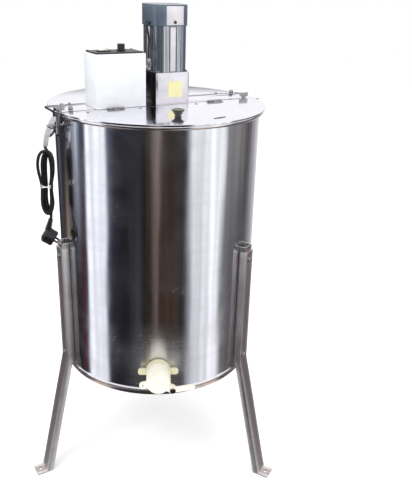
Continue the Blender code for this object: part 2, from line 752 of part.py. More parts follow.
# ---------------------------------------------------------------- crossbar and its fixings
def crossbar():
    """A folded sheet across the drum: side flanges inside the drum, and end tabs outside."""
    sheet = box_mesh("crossbar", (2 * BEAM_HALF, BEAM_WIDTH, SHEET), (0.0, 0.0, -SHEET / 2))
    bar = add("crossbar", sheet, STEEL, BEAM)
    half = math.sqrt((DRUM_INSIDE - FLANGE_CLEAR) ** 2 - (BEAM_WIDTH / 2) ** 2)
    for side in (-1, 1):
        place = (0.0, side * (BEAM_WIDTH - SHEET) / 2, -(SHEET + BEAM_FLANGE) / 2 - 0.0002)
        size = (2 * half, SHEET + side * 0.0001, BEAM_FLANGE + SHEET - 0.001)
        join(bar, box_mesh("side_flange", size, place))
    for side in (-1, 1):
        along = side * (BEAM_HALF - SHEET / 2)
        lip = ((SHEET, BEAM_WIDTH - 0.0004, END_LIP), (along, 0.0, -END_LIP / 2 - 0.0003))
        join(bar, boxes_mesh("end_lip", [lip]))
        tab = ((SHEET - 0.0002, END_TAB_WIDTH, END_TAB), (along, SIDE_SCREW_ACROSS, -END_TAB / 2 - 0.0004))
        join(bar, boxes_mesh("end_tab", [tab]))
    holes = [((0, 0, -0.02), (0, 0, 0.02), SHAFT_HOLE)]
    reach = BEAM_HALF + 0.01
    bore = (SIDE_SCREW_ACROSS, -SCREW_DROP)
    holes.append(((-reach, *bore), (reach, *bore), HOOK_ROD + RUN))
    for along, across in ((HOOK_ALONG, HOOK_ACROSS), (STUD_ALONG, STUD_ACROSS), BOLT_LEFT, BOLT_RIGHT):
        holes.append(((along, across, -0.02), (along, across, 0.02), HOOK_ROD + RUN))
    cut(bar, rods_mesh("crossbar_holes", holes, 24))


def wing_nut(name, along, across, height, parent=None):
    """A wing nut whose hub stands on Z; its object's origin is on the stud's axis."""
    nut = rod_mesh(name, (0, 0, 0), (0, 0, NUT_HUB_HEIGHT), NUT_HUB, 16)
    nut = add(name, nut, BRIGHT, parent)
    nut.location = (along, across, height)
    for side in (-1, 1):
        wing = box_mesh(
            "wing",
            (WING_REACH - NUT_HUB * 0.6, WING_THICK, 0.010),
            (side * (WING_REACH + NUT_HUB * 0.6) / 2, 0.0, NUT_HUB_HEIGHT * 0.5 + 0.005),
        )
        cut_wing = join(nut, wing)
        cut_wing.modifiers[-1].object.location = nut.location
    bore = rod_mesh("nut_bore", (0, 0, -0.01), (0, 0, 0.03), HOOK_ROD + RUN, SCREW_SIDES)
    cut(nut, bore).modifiers[-1].object.location = nut.location
    return nut


def fixings():
    """Rim hook, clamping stud, two plain bolts, their nuts, and the end screws."""
    rod_top = NUT_HUB_HEIGHT + 0.006
    stops = [
        (HOOK_ALONG, HOOK_ACROSS, rod_top),
        (HOOK_ALONG, HOOK_ACROSS, -0.006),
        (HOOK_ALONG, HOOK_ACROSS, -0.018),
        (HOOK_ALONG - 0.001, HOOK_ACROSS, -0.024),
        (HOOK_ALONG + 0.003, HOOK_ACROSS, -0.0285),
        (HOOK_ALONG + 0.008, HOOK_ACROSS, -0.027),
        (HOOK_ALONG + 0.0095, HOOK_ACROSS, -0.0215),
    ]
    tube("rim_hook", smooth_route(stops, 0.004), HOOK_ROD, BRIGHT, BEAM)
    wing_nut("wing_nut_left", HOOK_ALONG, HOOK_ACROSS, GAP, BEAM)

    stud = rod_mesh("clamp_stud", (0, 0, -0.016), (0, 0, rod_top), HOOK_ROD, SCREW_SIDES)
    stud = add("clamp_stud", stud, BRIGHT, BEAM)
    stud.location = (STUD_ALONG, STUD_ACROSS, 0.0)
    head = rod_mesh("stud_head", (0, 0, -SHEET - GAP), (0, 0, -SHEET - 0.005), BOLT_HEAD, 6)
    join(stud, head).modifiers[-1].object.location = stud.location
    wing_nut("wing_nut_right", STUD_ALONG, STUD_ACROSS, GAP, BEAM)

    for name, (along, across) in (("beam_bolt_left", BOLT_LEFT), ("beam_bolt_right", BOLT_RIGHT)):
        bolt = rod_mesh(name, (0, 0, -0.014), (0, 0, 0.009), HOOK_ROD, SCREW_SIDES)
        bolt = add(name, bolt, BRIGHT, BEAM)
        bolt.location = (along, across, 0.0)
        cap = rod_mesh("bolt_cap", (0, 0, GAP), (0, 0, 0.011), BOLT_HEAD, 6, BOLT_HEAD * 0.75)
        join(bolt, cap).modifiers[-1].object.location = bolt.location

    for name, side in (("side_screw_left", -1), ("side_screw_right", 1)):
        tip = side * (DRUM_RADIUS + 0.0045)
        outer = side * (BEAM_HALF + 0.016)
        screw = rod_mesh(name, (tip, 0, 0), (outer, 0, 0), HOOK_ROD, SCREW_SIDES)
        screw = add(name, screw, BRIGHT, BEAM)
        screw.location = (0.0, SIDE_SCREW_ACROSS, -SCREW_DROP)
        hub = rod_mesh("screw_hub", (side * (BEAM_HALF + 0.004), 0, 0),
                       (side * (BEAM_HALF + 0.011), 0, 0), NUT_HUB, 16)
        join(screw, hub).modifiers[-1].object.location = screw.location
        wings = box_mesh("screw_wings", (0.008, 2 * WING_REACH, WING_THICK),
                         (side * (BEAM_HALF + 0.0115), 0, 0))
        join(screw, wings).modifiers[-1].object.location = screw.location


# ---------------------------------------------------------------- covers
def cover_mesh(name):
    """The whole round cover with its down-turned lip, in the crossbar's frame."""
    outline = [
        (0.0, 0.0),
        (LID_RADIUS - 0.001, 0.0),
        (LID_RADIUS, -0.001),
        (LID_RADIUS, -LID_LIP),
        (LID_RADIUS - SHEET, -LID_LIP),
        (LID_RADIUS - SHEET, -SHEET),
        (0.0, -SHEET),
    ]
    return turned_mesh(name, outline, SIDES, closed=False)


def covers():
    """The front half lid on its hinges, and the rear half cover."""
    edge = BEAM_WIDTH / 2 + LID_SLOT
    for name, side in (("front_lid", -1), ("rear_cover", 1)):
        half = add(name, cover_mesh(name), STEEL, BEAM)
        keep = box_mesh("cover_half", (0.6, 0.3, 0.1), (0.0, side * (edge + 0.15), 0.0))
        boolean(half, keep, "INTERSECT")

    knob = [
        (0.0, KNOB_HEIGHT),
        (KNOB_RADIUS * 0.6, KNOB_HEIGHT - 0.0006),
        (KNOB_RADIUS * 0.9, KNOB_HEIGHT - 0.002),
        (KNOB_RADIUS, KNOB_HEIGHT - 0.0045),
        (KNOB_RADIUS * 0.9, KNOB_HEIGHT - 0.0065),
        (KNOB_NECK * 1.1, KNOB_HEIGHT - 0.0105),
        (KNOB_NECK, 0.003),
        (KNOB_NECK * 1.4, GAP),
        (0.0, GAP),
    ]
    knob = add("lid_knob", turned_mesh("lid_knob", knob, 24, closed=False), BLACK, BEAM)
    knob.location = (KNOB_ALONG, KNOB_ACROSS, 0.0)


def hinges():
    """Two butt hinges on the front lid: each has a fixed leaf with its pin, and a lid leaf."""
    across, height = HINGE_LINE
    third = HINGE_LENGTH / 3
    for side, place in (("left", -HINGE_PLACE), ("right", HINGE_PLACE)):
        # the fixed leaf lies on the crossbar, and holds the two outer knuckles and the pin
        fixed = rod_mesh("hinge", (-HINGE_LENGTH / 2, 0, 0), (HINGE_LENGTH / 2, 0, 0), KNUCKLE, 16)
        fixed = add("hinge_" + side, fixed, BRIGHT, BEAM)
        fixed.location = (place, -across, height + GAP)
        leaf = box_mesh(
            "leaf",
            (HINGE_LENGTH - 0.0002, LEAF_WIDTH, LEAF),
            (0.0, LEAF_WIDTH / 2, -height + LEAF / 2),
        )
        join(fixed, leaf)
        gap = box_mesh("knuckle_gap", (third + 2 * GAP, 0.03, 0.03), (0, -0.015 + KNUCKLE + GAP, 0.0))
        cut(fixed, gap)
        pin = rod_mesh("pin", (-HINGE_LENGTH / 2 + 0.002, 0, 0), (HINGE_LENGTH / 2 - 0.002, 0, 0),
                       HINGE_PIN, SCREW_SIDES)
        join(fixed, pin)
        # the lid's leaf lies on the lid, and holds the middle knuckle
        knuckle = rod_mesh("lid_leaf", (-third / 2 + GAP, 0, 0), (third / 2 - GAP, 0, 0), KNUCKLE, 16)
        moving = add("lid_leaf_" + side, knuckle, BRIGHT, BEAM)
        moving.location = fixed.location
        flap = box_mesh(
            "flap",
            (third - 2 * GAP - 0.0002, LEAF_WIDTH, LEAF),
            (0.0, -LEAF_WIDTH / 2, -height + LEAF / 2),
        )
        join(moving, flap)
        wide = box_mesh(
            "wide_flap",
            (HINGE_LENGTH, LEAF_WIDTH - KNUCKLE - 0.002, LEAF - 0.0001),
            (0.0, -(LEAF_WIDTH + KNUCKLE + 0.002) / 2, -height + LEAF / 2),
        )
        join(moving, wide)
        bore = rod_mesh("pin_bore", (-0.05, 0, 0), (0.05, 0, 0), HINGE_PIN + RUN, SCREW_SIDES)
        cut(moving, bore)
        for piece in (fixed, moving):
            for step in piece.modifiers:
                step.object.location = piece.location


# ---------------------------------------------------------------- gearmotor
def gear_outline(teeth, module, relief=0.0):
    """A spur gear's outline with straight-sided teeth, thinned by relief for backlash."""
    pitch = teeth * module / 2
    tip = pitch + module * 0.85
    root = pitch - module * 1.1
    step = 360.0 / teeth
    flank = 0.25 - relief / (pitch * math.radians(step)) / 2
    points = []
    for k in range(teeth):
        for radius, share in ((root, -flank - 0.12), (tip, -flank + 0.12), (tip, flank - 0.12),
                              (root, flank + 0.12)):
            angle = math.radians(step * (k + share))
            points.append((radius * math.cos(angle), radius * math.sin(angle)))
    return points


def gearmotor():
    base = GAP
    top = base + GEARBOX_HEIGHT
    outline = round_square(GEARBOX_SIDE, 0.005, 3)
    housing = plate_mesh("gearbox_housing", [outline], GEARBOX_HEIGHT)
    housing = add("gearbox_housing", moved(housing, (GEAR_OFFSET, 0, base + GEARBOX_HEIGHT / 2)),
                  ALUMINIUM, BEAM)
    cut(housing, rod_mesh("gear_cavity", (GEAR_OFFSET, 0, base + GEARBOX_FLOOR),
                          (GEAR_OFFSET, 0, top + 0.01), GEARBOX_BORE))
    cut(housing, rod_mesh("output_bore", (0, 0, -0.01), (0, 0, 0.03), OUTPUT_SHAFT + RUN))

    # the output wheel and its shaft are one piece, which turns with the reel
    wheel_base = base + GEARBOX_FLOOR + 0.004
    wheel = plate_mesh("output_shaft", [gear_outline(WHEEL_TEETH, GEAR_MODULE, 0.0003)], WHEEL_THICK)
    wheel = add("output_shaft", moved(wheel, (0, 0, wheel_base + WHEEL_THICK / 2)), ROTOR, BEAM)
    shaft = rod_mesh("shaft", (0, 0, -OUTPUT_DROP), (0, 0, wheel_base + WHEEL_THICK + 0.004), OUTPUT_SHAFT)
    join(wheel, shaft)

    # motor body: a round-cornered extrusion with a round bore
    outline = round_square(MOTOR_SIDE, MOTOR_CORNER)
    bore = arc((0.0, 0.0), MOTOR_BORE, 0.0, 360.0, 40)[:-1]
    floor = top + GAP
    body = plate_mesh("motor_body", [outline, bore], MOTOR_HEIGHT)
    add("motor_body", moved(body, (GEAR_OFFSET, 0, floor + MOTOR_HEIGHT / 2)), ALUMINIUM, BEAM)

    roof = floor + MOTOR_HEIGHT + GAP
    outline = round_square(CAP_SIDE, MOTOR_CORNER + (CAP_SIDE - MOTOR_SIDE) / 2)
    cap = plate_mesh("motor_cap", [outline], CAP_HEIGHT)
    cap = add("motor_cap", moved(cap, (GEAR_OFFSET, 0, roof + CAP_HEIGHT / 2)), BLUE_GREY, BEAM)
    inner = round_square(CAP_SIDE - 2 * CAP_WALL, MOTOR_CORNER + 0.001)
    hollow = plate_mesh("cap_hollow", [inner], CAP_HEIGHT)
    cut(cap, moved(hollow, (GEAR_OFFSET, 0, roof + CAP_HEIGHT / 2 - CAP_WALL)))

    # rotor: shaft, laminated drum, pinion and fan, on the motor's axis
    centre = GEAR_OFFSET
    turn = 360.0 / PINION_TEETH / 2
    pinion = moved(plate_mesh("motor_rotor", [gear_outline(PINION_TEETH, GEAR_MODULE, 0.0003)], 0.016),
                   turn=180.0 + turn)
    rotor = add("motor_rotor", moved(pinion, (0, 0, wheel_base + 0.008 - 0.002)), ROTOR, BEAM)
    rotor.location = (centre, 0.0, 0.0)
    start = wheel_base + 0.014 - 0.001
    join(rotor, rod_mesh("rotor_shaft", (0, 0, start), (0, 0, roof + 0.012), ROTOR_SHAFT))
    low = floor + (MOTOR_HEIGHT - ROTOR_LENGTH) / 2
    join(rotor, rod_mesh("laminations", (0, 0, low), (0, 0, low + ROTOR_LENGTH), ROTOR_RADIUS))
    for step in rotor.modifiers:
        step.object.location = rotor.location

    fan = rod_mesh("cooling_fan", (0, 0, 0), (0, 0, FAN_HEIGHT), 0.010)
    fan = add("cooling_fan", fan, BLACK, BEAM)
    fan.location = (centre, 0.0, roof + 0.006)
    blades = 6
    for k in range(blades):
        vane = box_mesh("vane", (FAN_RADIUS - 0.006, 0.002, FAN_HEIGHT - 0.001),
                        ((FAN_RADIUS + 0.006) / 2, 0, FAN_HEIGHT / 2))
        join(fan, moved(vane, turn=k * 360.0 / blades))
    cut(fan, rod_mesh("fan_bore", (0, 0, -0.01), (0, 0, 0.03), ROTOR_SHAFT + GAP))
    for step in fan.modifiers:
        step.object.location = fan.location


# ---------------------------------------------------------------- control box
def control_box():
    place = (BOX_ALONG, BOX_ACROSS)
    middle = GAP + BOX_HEIGHT / 2
    shell = box_mesh("control_box", (BOX_WIDTH, BOX_DEPTH, BOX_HEIGHT), (*place, middle))
    shell = add("control_box", shell, WHITE_PAINT, BEAM)
    inner = (BOX_WIDTH - 2 * BOX_SHEET, BOX_DEPTH - 2 * BOX_SHEET, BOX_HEIGHT)
    cut(shell, box_mesh("box_hollow", inner, (*place, middle - BOX_SHEET)))
    top = GAP + BOX_HEIGHT
    dial = (DIAL_ALONG, DIAL_ACROSS)
    switch = (SWITCH_ALONG, SWITCH_ACROSS)
    frame = (SWITCH_LENGTH - 2 * BEZEL_RIM, SWITCH_WIDTH - 2 * BEZEL_RIM)
    opening = (frame[0] + 0.003, frame[1] + 0.003, 0.05)
    cut(shell, box_mesh("switch_hole", opening, (*switch, top)))
    holes = [((*dial, top - 0.02), (*dial, top + 0.02), DIAL_SHAFT + RUN)]
    cut(shell, rods_mesh("dial_hole", holes, 20))
    gland = (GLAND_ALONG, BOX_ACROSS + BOX_DEPTH / 2, GLAND_HEIGHT)
    cut(shell, rod_mesh("gland_hole", (gland[0], gland[1] - 0.01, gland[2]),
                        (gland[0], gland[1] + 0.01, gland[2]), GLAND_NECK + GAP, 20))
    side = BOX_ALONG + BOX_WIDTH / 2
    cut(shell, rod_mesh("lead_hole", (side - 0.01, LEAD_ACROSS, LEAD_HEIGHT),
                        (side + 0.01, LEAD_ACROSS, LEAD_HEIGHT), LEAD_NECK + GAP, 20))

    low = top + GAP
    panel = box_mesh("box_panel", (BOX_WIDTH - 2 * PANEL_INSET, BOX_DEPTH - 2 * PANEL_INSET, PANEL_THICK),
                     (*place, low + PANEL_THICK / 2))
    panel = add("box_panel", panel, BLACK, BEAM)
    cut(panel, box_mesh("panel_switch_hole", opening, (*switch, low)))
    cut(panel, rods_mesh("panel_dial_hole", holes, 20))

    face = low + PANEL_THICK + GAP
    bezel = box_mesh("switch_bezel", (SWITCH_LENGTH, SWITCH_WIDTH, BEZEL_THICK), (0, 0, BEZEL_THICK / 2))
    bezel = add("switch_bezel", bezel, BLACK, BEAM)
    bezel.location = (*switch, face)
    throat = box_mesh("bezel_throat", (frame[0] + 0.002, frame[1] + 0.002, 0.016), (0, 0, -0.0075))
    join(bezel, throat)
    cut(bezel, box_mesh("bezel_hollow", (*frame, 0.05), (0, 0, 0.0)))
    for step in bezel.modifiers:
        step.object.location = bezel.location
    rocker = [
        (-frame[0] / 2 + RUN, -0.004),
        (frame[0] / 2 - RUN, -0.004),
        (frame[0] / 2 - RUN, BEZEL_THICK + ROCKER_RISE),
        (0.0, BEZEL_THICK + 0.0015),
        (-frame[0] / 2 + RUN, BEZEL_THICK + 0.001),
    ]
    rocker = [(x * 0.94, z) for x, z in rocker]
    rocker = plate_mesh("power_switch", [rocker], frame[1] - 2 * RUN, "XZ")
    add("power_switch", rocker, BEIGE, BEAM).location = (*switch, face)

    profile = [
        (0.0, DIAL_HEIGHT),
        (DIAL_RADIUS - 0.001, DIAL_HEIGHT),
        (DIAL_RADIUS, DIAL_HEIGHT - 0.001),
        (DIAL_RADIUS, 0.003),
        (DIAL_SKIRT, 0.002),
        (DIAL_SKIRT, 0.0),
        (DIAL_SHAFT, 0.0),
        (DIAL_SHAFT, -0.012),
        (0.0, -0.012),
    ]
    knob = add("speed_knob", turned_mesh("speed_knob", profile, 24, closed=False), BLACK, BEAM)
    knob.location = (*dial, face)

    board = box_mesh("control_board", (0.090, 0.0016, 0.070), (BOX_ALONG, BOX_ACROSS + 0.018, 0.055))
    board = add("control_board", board, BOARD, BEAM)
    capacitor = rod_mesh("capacitor", (BOX_ALONG - 0.02, BOX_ACROSS + 0.0175, 0.055),
                         (BOX_ALONG - 0.02, BOX_ACROSS - 0.012, 0.055), 0.011, 16)
    join(board, capacitor)
    stand_off = box_mesh("relay", (0.020, 0.016, 0.018), (BOX_ALONG + 0.02, BOX_ACROSS + 0.0097, 0.050))
    join(board, stand_off)


# ---------------------------------------------------------------- leads
def leads():
    """The motor's lead and its connector, and the mains cord with what is on it."""
    side = BOX_ALONG + BOX_WIDTH / 2 + GAP
    elbow = rod_mesh("elbow", (side - GAP - BOX_SHEET - 0.004, LEAD_ACROSS, LEAD_HEIGHT),
                     (LEAD_ALONG, LEAD_ACROSS, LEAD_HEIGHT), LEAD_NECK, 20)
    connector = add("lead_connector", elbow, BRIGHT, BEAM)
    barrel = rod_mesh("barrel", (LEAD_ALONG, LEAD_ACROSS, LEAD_HEIGHT - 0.007),
                      (LEAD_ALONG, LEAD_ACROSS, CONNECTOR_TOP), CONNECTOR_RADIUS, 20)
    join(connector, barrel)

    cap_foot = 3 * GAP + GEARBOX_HEIGHT + MOTOR_HEIGHT
    wall = GEAR_OFFSET - CAP_SIDE / 2
    stops = [
        (wall - 2 * GAP, -0.018, cap_foot + 0.007),
        (wall - 0.0045, -0.018, cap_foot + 0.007),
        (wall - 0.009, -0.0185, cap_foot + 0.003),
        (wall - 0.0095, -0.022, cap_foot - 0.010),
        (wall - 0.0075, -0.024, cap_foot - 0.030),
        (LEAD_ALONG + 0.001, LEAD_ACROSS + 0.002, CONNECTOR_TOP + 0.025),
        (LEAD_ALONG, LEAD_ACROSS, CONNECTOR_TOP + 0.008),
        (LEAD_ALONG, LEAD_ACROSS, CONNECTOR_TOP + 2 * GAP),
    ]
    tube("motor_lead", smooth_route(stops, 0.006), LEAD_RADIUS, RUBBER, BEAM)

    back = BOX_ACROSS + BOX_DEPTH / 2
    gland = rod_mesh("gland", (GLAND_ALONG, back - BOX_SHEET - 0.004, GLAND_HEIGHT),
                     (GLAND_ALONG, back + 0.003, GLAND_HEIGHT), GLAND_NECK, 20)
    gland = add("cord_gland", gland, BLACK, BEAM)
    nose = rod_mesh("gland_nose", (GLAND_ALONG, back + GAP, GLAND_HEIGHT),
                    (GLAND_ALONG, back + GLAND_LENGTH, GLAND_HEIGHT), GLAND_OUTER, 20, GLAND_END)
    join(gland, nose)


def polar(azimuth, reach, height):
    """A point round the drum's axis; azimuth is in degrees from the front, towards +X."""
    angle = math.radians(azimuth)
    return (reach * math.sin(angle), -reach * math.cos(angle), height)


def mains_cord():
    turn = Matrix.Rotation(math.radians(BEAM_TURN), 3, "Z")
    back = BOX_ACROSS + BOX_DEPTH / 2 + GLAND_LENGTH + 2 * GAP

    def on_beam(along, across, height):
        spot = turn @ Vector((along, across, height))
        return (spot.x, spot.y, spot.z + BEAM_TOP)

    lie = CORD_RADIUS + 2 * GAP
    stops = [
        on_beam(GLAND_ALONG, back, GLAND_HEIGHT),
        on_beam(GLAND_ALONG, back + 0.007, GLAND_HEIGHT),
        on_beam(GLAND_ALONG, back + 0.016, GLAND_HEIGHT - 0.002),
        on_beam(GLAND_ALONG + 0.002, back + 0.034, GLAND_HEIGHT - 0.012),
        on_beam(GLAND_ALONG + 0.007, back + 0.054, lie + 0.001),
        on_beam(GLAND_ALONG + 0.018, back + 0.080, lie),
        polar(-150.0, DRUM_RADIUS - 0.075, BEAM_TOP + lie),
        polar(-151.5, DRUM_RADIUS - 0.035, BEAM_TOP + lie),
        polar(-151.5, DRUM_RADIUS - 0.01, BEAM_TOP + lie + 0.001),
        polar(-151.0, DRUM_RADIUS + 0.012, BEAM_TOP + lie + 0.001),
        polar(-149.5, DRUM_RADIUS + 0.0285, BEAM_TOP - 0.010),
        polar(-147.0, DRUM_RADIUS + 0.03, BEAM_TOP - 0.033),
        polar(-142.0, DRUM_RADIUS + 0.016, BEAM_TOP - 0.053),
        polar(-134.0, WALL_LIE, BEAM_TOP - 0.062),
        polar(-122.0, WALL_LIE, BEAM_TOP - 0.065),
        polar(-108.0, WALL_LIE, BEAM_TOP - 0.068),
        polar(-94.0, WALL_LIE, BEAM_TOP - 0.072),
        polar(-82.0, WALL_LIE + 0.0005, BEAM_TOP - 0.076),
        polar(-73.0, DRUM_RADIUS + 0.012, BEAM_TOP - 0.073),
        polar(-66.0, DRUM_RADIUS + 0.028, BEAM_TOP - 0.067),
        polar(HANK_AZIMUTH - 0.4, HANK_REACH - 0.001, HANK_TOP + 0.0125),
        polar(HANK_AZIMUTH, HANK_REACH, HANK_TOP + 0.006),
        polar(HANK_AZIMUTH, HANK_REACH, HANK_TOP + 3 * GAP),
    ]
    tube("power_cord", smooth_route(stops, 0.014), CORD_RADIUS, RUBBER, STAND)

    line = empty("hank_line", polar(HANK_AZIMUTH, HANK_REACH, 0.0), 0.0, STAND)
    half = HANK_WIDTH / 2
    outline = arc((0.0, HANK_TOP - half), half, 0.0, 180.0, 8)
    outline += arc((0.0, HANK_FOOT + half), half, 180.0, 360.0, 8)
    hank = plate_mesh("cord_hank", [outline], HANK_DEPTH, "XZ")
    add("cord_hank", hank, RUBBER, line)

    foot = HANK_FOOT - GAP
    relief = rod_mesh("mains_plug", (0.004, 0, foot - 0.004), (-0.003, -PLUG_OUT, foot - 0.031),
                      0.0045, 16, 0.0075)
    plug = add("mains_plug", relief, RUBBER, line)
    out = -PLUG_OUT
    axis = Vector((0.026, 0.0, -0.016)).normalized()
    face = Vector((0.012, out, foot - 0.055))
    body = rod_mesh("plug_body", face - axis * PLUG_LENGTH, face, PLUG_RADIUS, 24)
    join(plug, body)
    lead = rod_mesh("plug_lead", (0.0048, 0, foot - 0.0002), (0.0038, 0, foot - 0.006), CORD_RADIUS, 12)
    join(plug, lead)
    pins = []
    for side in (-1, 1):
        start = face - axis * 0.002 + Vector((0.0, side * 0.0095, 0.0))
        pins.append((start, start + axis * 0.021, 0.0024))
    join(plug, rods_mesh("plug_pins", pins))

    # a strap from the crossbar's end holds the hank
    hold = HANK_REACH + STRAP_ALONG
    eye = [
        (BEAM_HALF + 0.0012, BEAM_TOP - 0.004),
        (BEAM_HALF + 0.0022, BEAM_TOP - 0.004),
        (hold + 0.0005, HANK_TOP + 2 * GAP),
        (hold - 0.0005, HANK_TOP + 2 * GAP),
    ]
    strap_line = empty("strap_line", (0.0, 0.0, 0.0), HANK_AZIMUTH, STAND)
    strap = side_plate("hank_strap", eye, 0.010)
    add("hank_strap", strap, STRAP, strap_line)

    for name, azimuth, drop in CLIPS:
        clip_line = empty(name + "_line", polar(azimuth, 0.0, BEAM_TOP - drop), azimuth, STAND)
        outer = WALL_LIE + CORD_RADIUS + CLIP_WALL
        inner = DRUM_RADIUS + GAP
        block = box_mesh(name, (CLIP_WIDTH, outer - inner, CLIP_TALL), (0.0, -(outer + inner) / 2, 0.0))
        clip = add(name, block, BLACK, clip_line)
        mouth = rod_mesh("clip_bore", (-CLIP_WIDTH, -WALL_LIE, 0.0), (CLIP_WIDTH, -WALL_LIE, 0.0),
                         CORD_RADIUS + 3 * GAP, 16)
        cut(clip, mouth)
        slot = box_mesh("clip_slot", (2 * CLIP_WIDTH, CLIP_SLOT, CLIP_TALL),
                        (0.0, -WALL_LIE, CLIP_TALL / 2))
        cut(clip, slot)


# ---------------------------------------------------------------- reel
def spider_mesh(name):
    """A square band with rounded corners, a hub, and four arms out to the corners, cut from
    one plate, so that the way down into each basket stays open."""
    reach = BASKET_FACE
    corner = reach * SPIDER_CORNER
    outline = round_square(2 * reach, corner)
    middle = reach - corner
    bend = corner - SPIDER_BAND
    arm = SPIDER_ARM / 2
    part_at = SPIDER_HUB - arm * math.sqrt(2.0)
    span = math.degrees(math.acos(arm / bend)) - 45.0
    window = [(SPIDER_HUB, -part_at)]
    window += arc((middle, -middle), bend, -span, 0.0, 5)
    window += arc((middle, middle), bend, 0.0, span, 5)
    window.append((SPIDER_HUB, part_at))
    holes = []
    for k in range(4):
        turn = math.radians(90 * k)
        holes.append([
            (x * math.cos(turn) - y * math.sin(turn), x * math.sin(turn) + y * math.cos(turn))
            for x, y in window
        ])
    centre = arc((0.0, 0.0), SHAFT_RADIUS + GAP, 0.0, 360.0, BOSS_SIDES)[:-1]
    return plate_mesh(name, [outline, centre, *holes], SPIDER_THICK)


def basket_mesh():
    """One frame basket: a windowed tray, open at its top and towards the shaft."""
    middle = -(BASKET_FACE - BASKET_DEPTH / 2)
    tray = box_mesh("basket", (BASKET_WIDTH, BASKET_DEPTH, BASKET_HEIGHT), (0.0, middle, 0.0))
    holder = add_cutter("basket_form", tray, None)
    hollow = box_mesh(
        "basket_hollow",
        (BASKET_WIDTH - 2 * BASKET_WIRE, BASKET_DEPTH, BASKET_HEIGHT),
        (0.0, middle + BASKET_WIRE, BASKET_WIRE),
    )
    cut(holder, hollow)
    bar = 0.006
    wide = (BASKET_WIDTH - 2 * BASKET_WIRE - bar) / WINDOW_COLUMNS
    tall = (BASKET_HEIGHT - BASKET_WIRE - 2 * bar) / WINDOW_ROWS
    windows = []
    for column in range(WINDOW_COLUMNS):
        for row in range(WINDOW_ROWS):
            x = -BASKET_WIDTH / 2 + BASKET_WIRE + bar / 2 + wide * (column + 0.5)
            z = -BASKET_HEIGHT / 2 + BASKET_WIRE + bar + tall * (row + 0.5)
            windows.append(((wide - bar, 0.02, tall - bar), (x, -BASKET_FACE, z)))
    cut(holder, boxes_mesh("basket_windows", windows))
    return baked_mesh(holder, "basket")


def reel():
    low = SEAT_TOP - SEAT_DEPTH + GAP
    high = BEAM_TOP - OUTPUT_DROP - GAP
    centre = empty("reel_line", (0.0, 0.0, 0.0), 0.0, STAND)
    shaft = rod_mesh("reel_shaft", (0, 0, low), (0, 0, high), SHAFT_RADIUS)
    add("reel_shaft", shaft, STEEL, centre)

    middle = high
    sleeve = rod_mesh("shaft_coupling", (0, 0, middle - COUPLING_LENGTH / 2),
                      (0, 0, middle + COUPLING_LENGTH / 2), COUPLING_RADIUS)
    sleeve = add("shaft_coupling", sleeve, BRUSHED, centre)
    cut(sleeve, rod_mesh("coupling_low_bore", (0, 0, middle - 0.03), (0, 0, middle), SHAFT_RADIUS + GAP))
    cut(sleeve, rod_mesh("coupling_high_bore", (0, 0, middle - 0.001), (0, 0, middle + 0.03),
                         OUTPUT_SHAFT + GAP))

    floor = REEL_DECK
    foot = floor - SPIDER_THICK
    spider = spider_mesh("reel_spider")
    spider.materials.append(BRUSHED)
    add("reel_spider_lower", spider, None, centre).location = (0, 0, foot + SPIDER_THICK / 2)
    roof = floor + GAP + BASKET_HEIGHT + GAP
    add("reel_spider_upper", spider, None, centre).location = (0, 0, roof + SPIDER_THICK / 2)

    basket = basket_mesh()
    basket.materials.append(WIRE)
    for k in range(4):
        tray = add("frame_basket_" + str(k + 1), basket, None, centre)
        tray.location = (0.0, 0.0, floor + GAP + BASKET_HEIGHT / 2)
        tray.rotation_euler = (0.0, 0.0, math.radians(90 * k))


drum_shell()
drum_floor()
legs()
honey_gate()
crossbar()
fixings()
covers()
hinges()
gearmotor()
control_box()
leads()
mains_cord()
reel()
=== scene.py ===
import math

import bmesh
import bpy
from mathutils import Matrix, Vector


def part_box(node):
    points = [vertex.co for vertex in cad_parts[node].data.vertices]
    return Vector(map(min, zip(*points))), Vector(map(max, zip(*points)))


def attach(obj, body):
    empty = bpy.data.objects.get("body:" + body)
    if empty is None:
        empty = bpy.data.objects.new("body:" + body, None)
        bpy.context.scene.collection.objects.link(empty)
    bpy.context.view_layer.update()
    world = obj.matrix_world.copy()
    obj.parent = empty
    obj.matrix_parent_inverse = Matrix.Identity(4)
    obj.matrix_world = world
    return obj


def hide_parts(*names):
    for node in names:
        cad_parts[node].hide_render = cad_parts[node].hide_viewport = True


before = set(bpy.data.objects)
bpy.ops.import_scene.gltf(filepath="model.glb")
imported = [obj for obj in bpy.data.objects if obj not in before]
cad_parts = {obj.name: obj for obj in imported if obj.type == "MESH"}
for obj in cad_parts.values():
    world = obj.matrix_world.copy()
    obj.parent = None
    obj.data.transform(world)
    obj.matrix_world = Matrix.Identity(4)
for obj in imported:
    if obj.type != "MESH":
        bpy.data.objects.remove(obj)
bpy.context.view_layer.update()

# ---------------------------------------------------------------- driving sizes, in metres
RIM_ROLL = 0.0063
DRUM_WALL = 0.0015
SHEET = 0.0015
LID_LIP = 0.004
GAP = 0.0003
BEAM_TURN = math.radians(30.0)
OUTLET_TURN = math.radians(3.5)
LEG_TURNS = {"left": -60.0, "right": 60.0, "rear": 180.0}
CORD_RADIUS = 0.0035
SEAM_ANGLE = -0.05
COVER_EDGE = 0.0512
OUTLET_BORE = 0.0213
MOTOR_ALONG = 0.018
MOTOR_FOOT = 0.0757
MOTOR_CROWN = 0.1795
GEARBOX_SCREW = 0.0375
COVER_SCREWS = (-0.205, -0.075, 0.075, 0.205)
CATCH_REACH = 0.228
KNOB_PLACE = (-0.097, -0.004, 0.1250)
LID_KNOB_PLACE = (-0.043, -0.182, 0.0)
SCREEN_UPRIGHTS = 17
SCREEN_RUNGS = 36
SCREEN_WIRE = 0.0006
WASHER_LIFT = 0.0002
FINE_SIDES = 240
BOSS_SIDES = 64


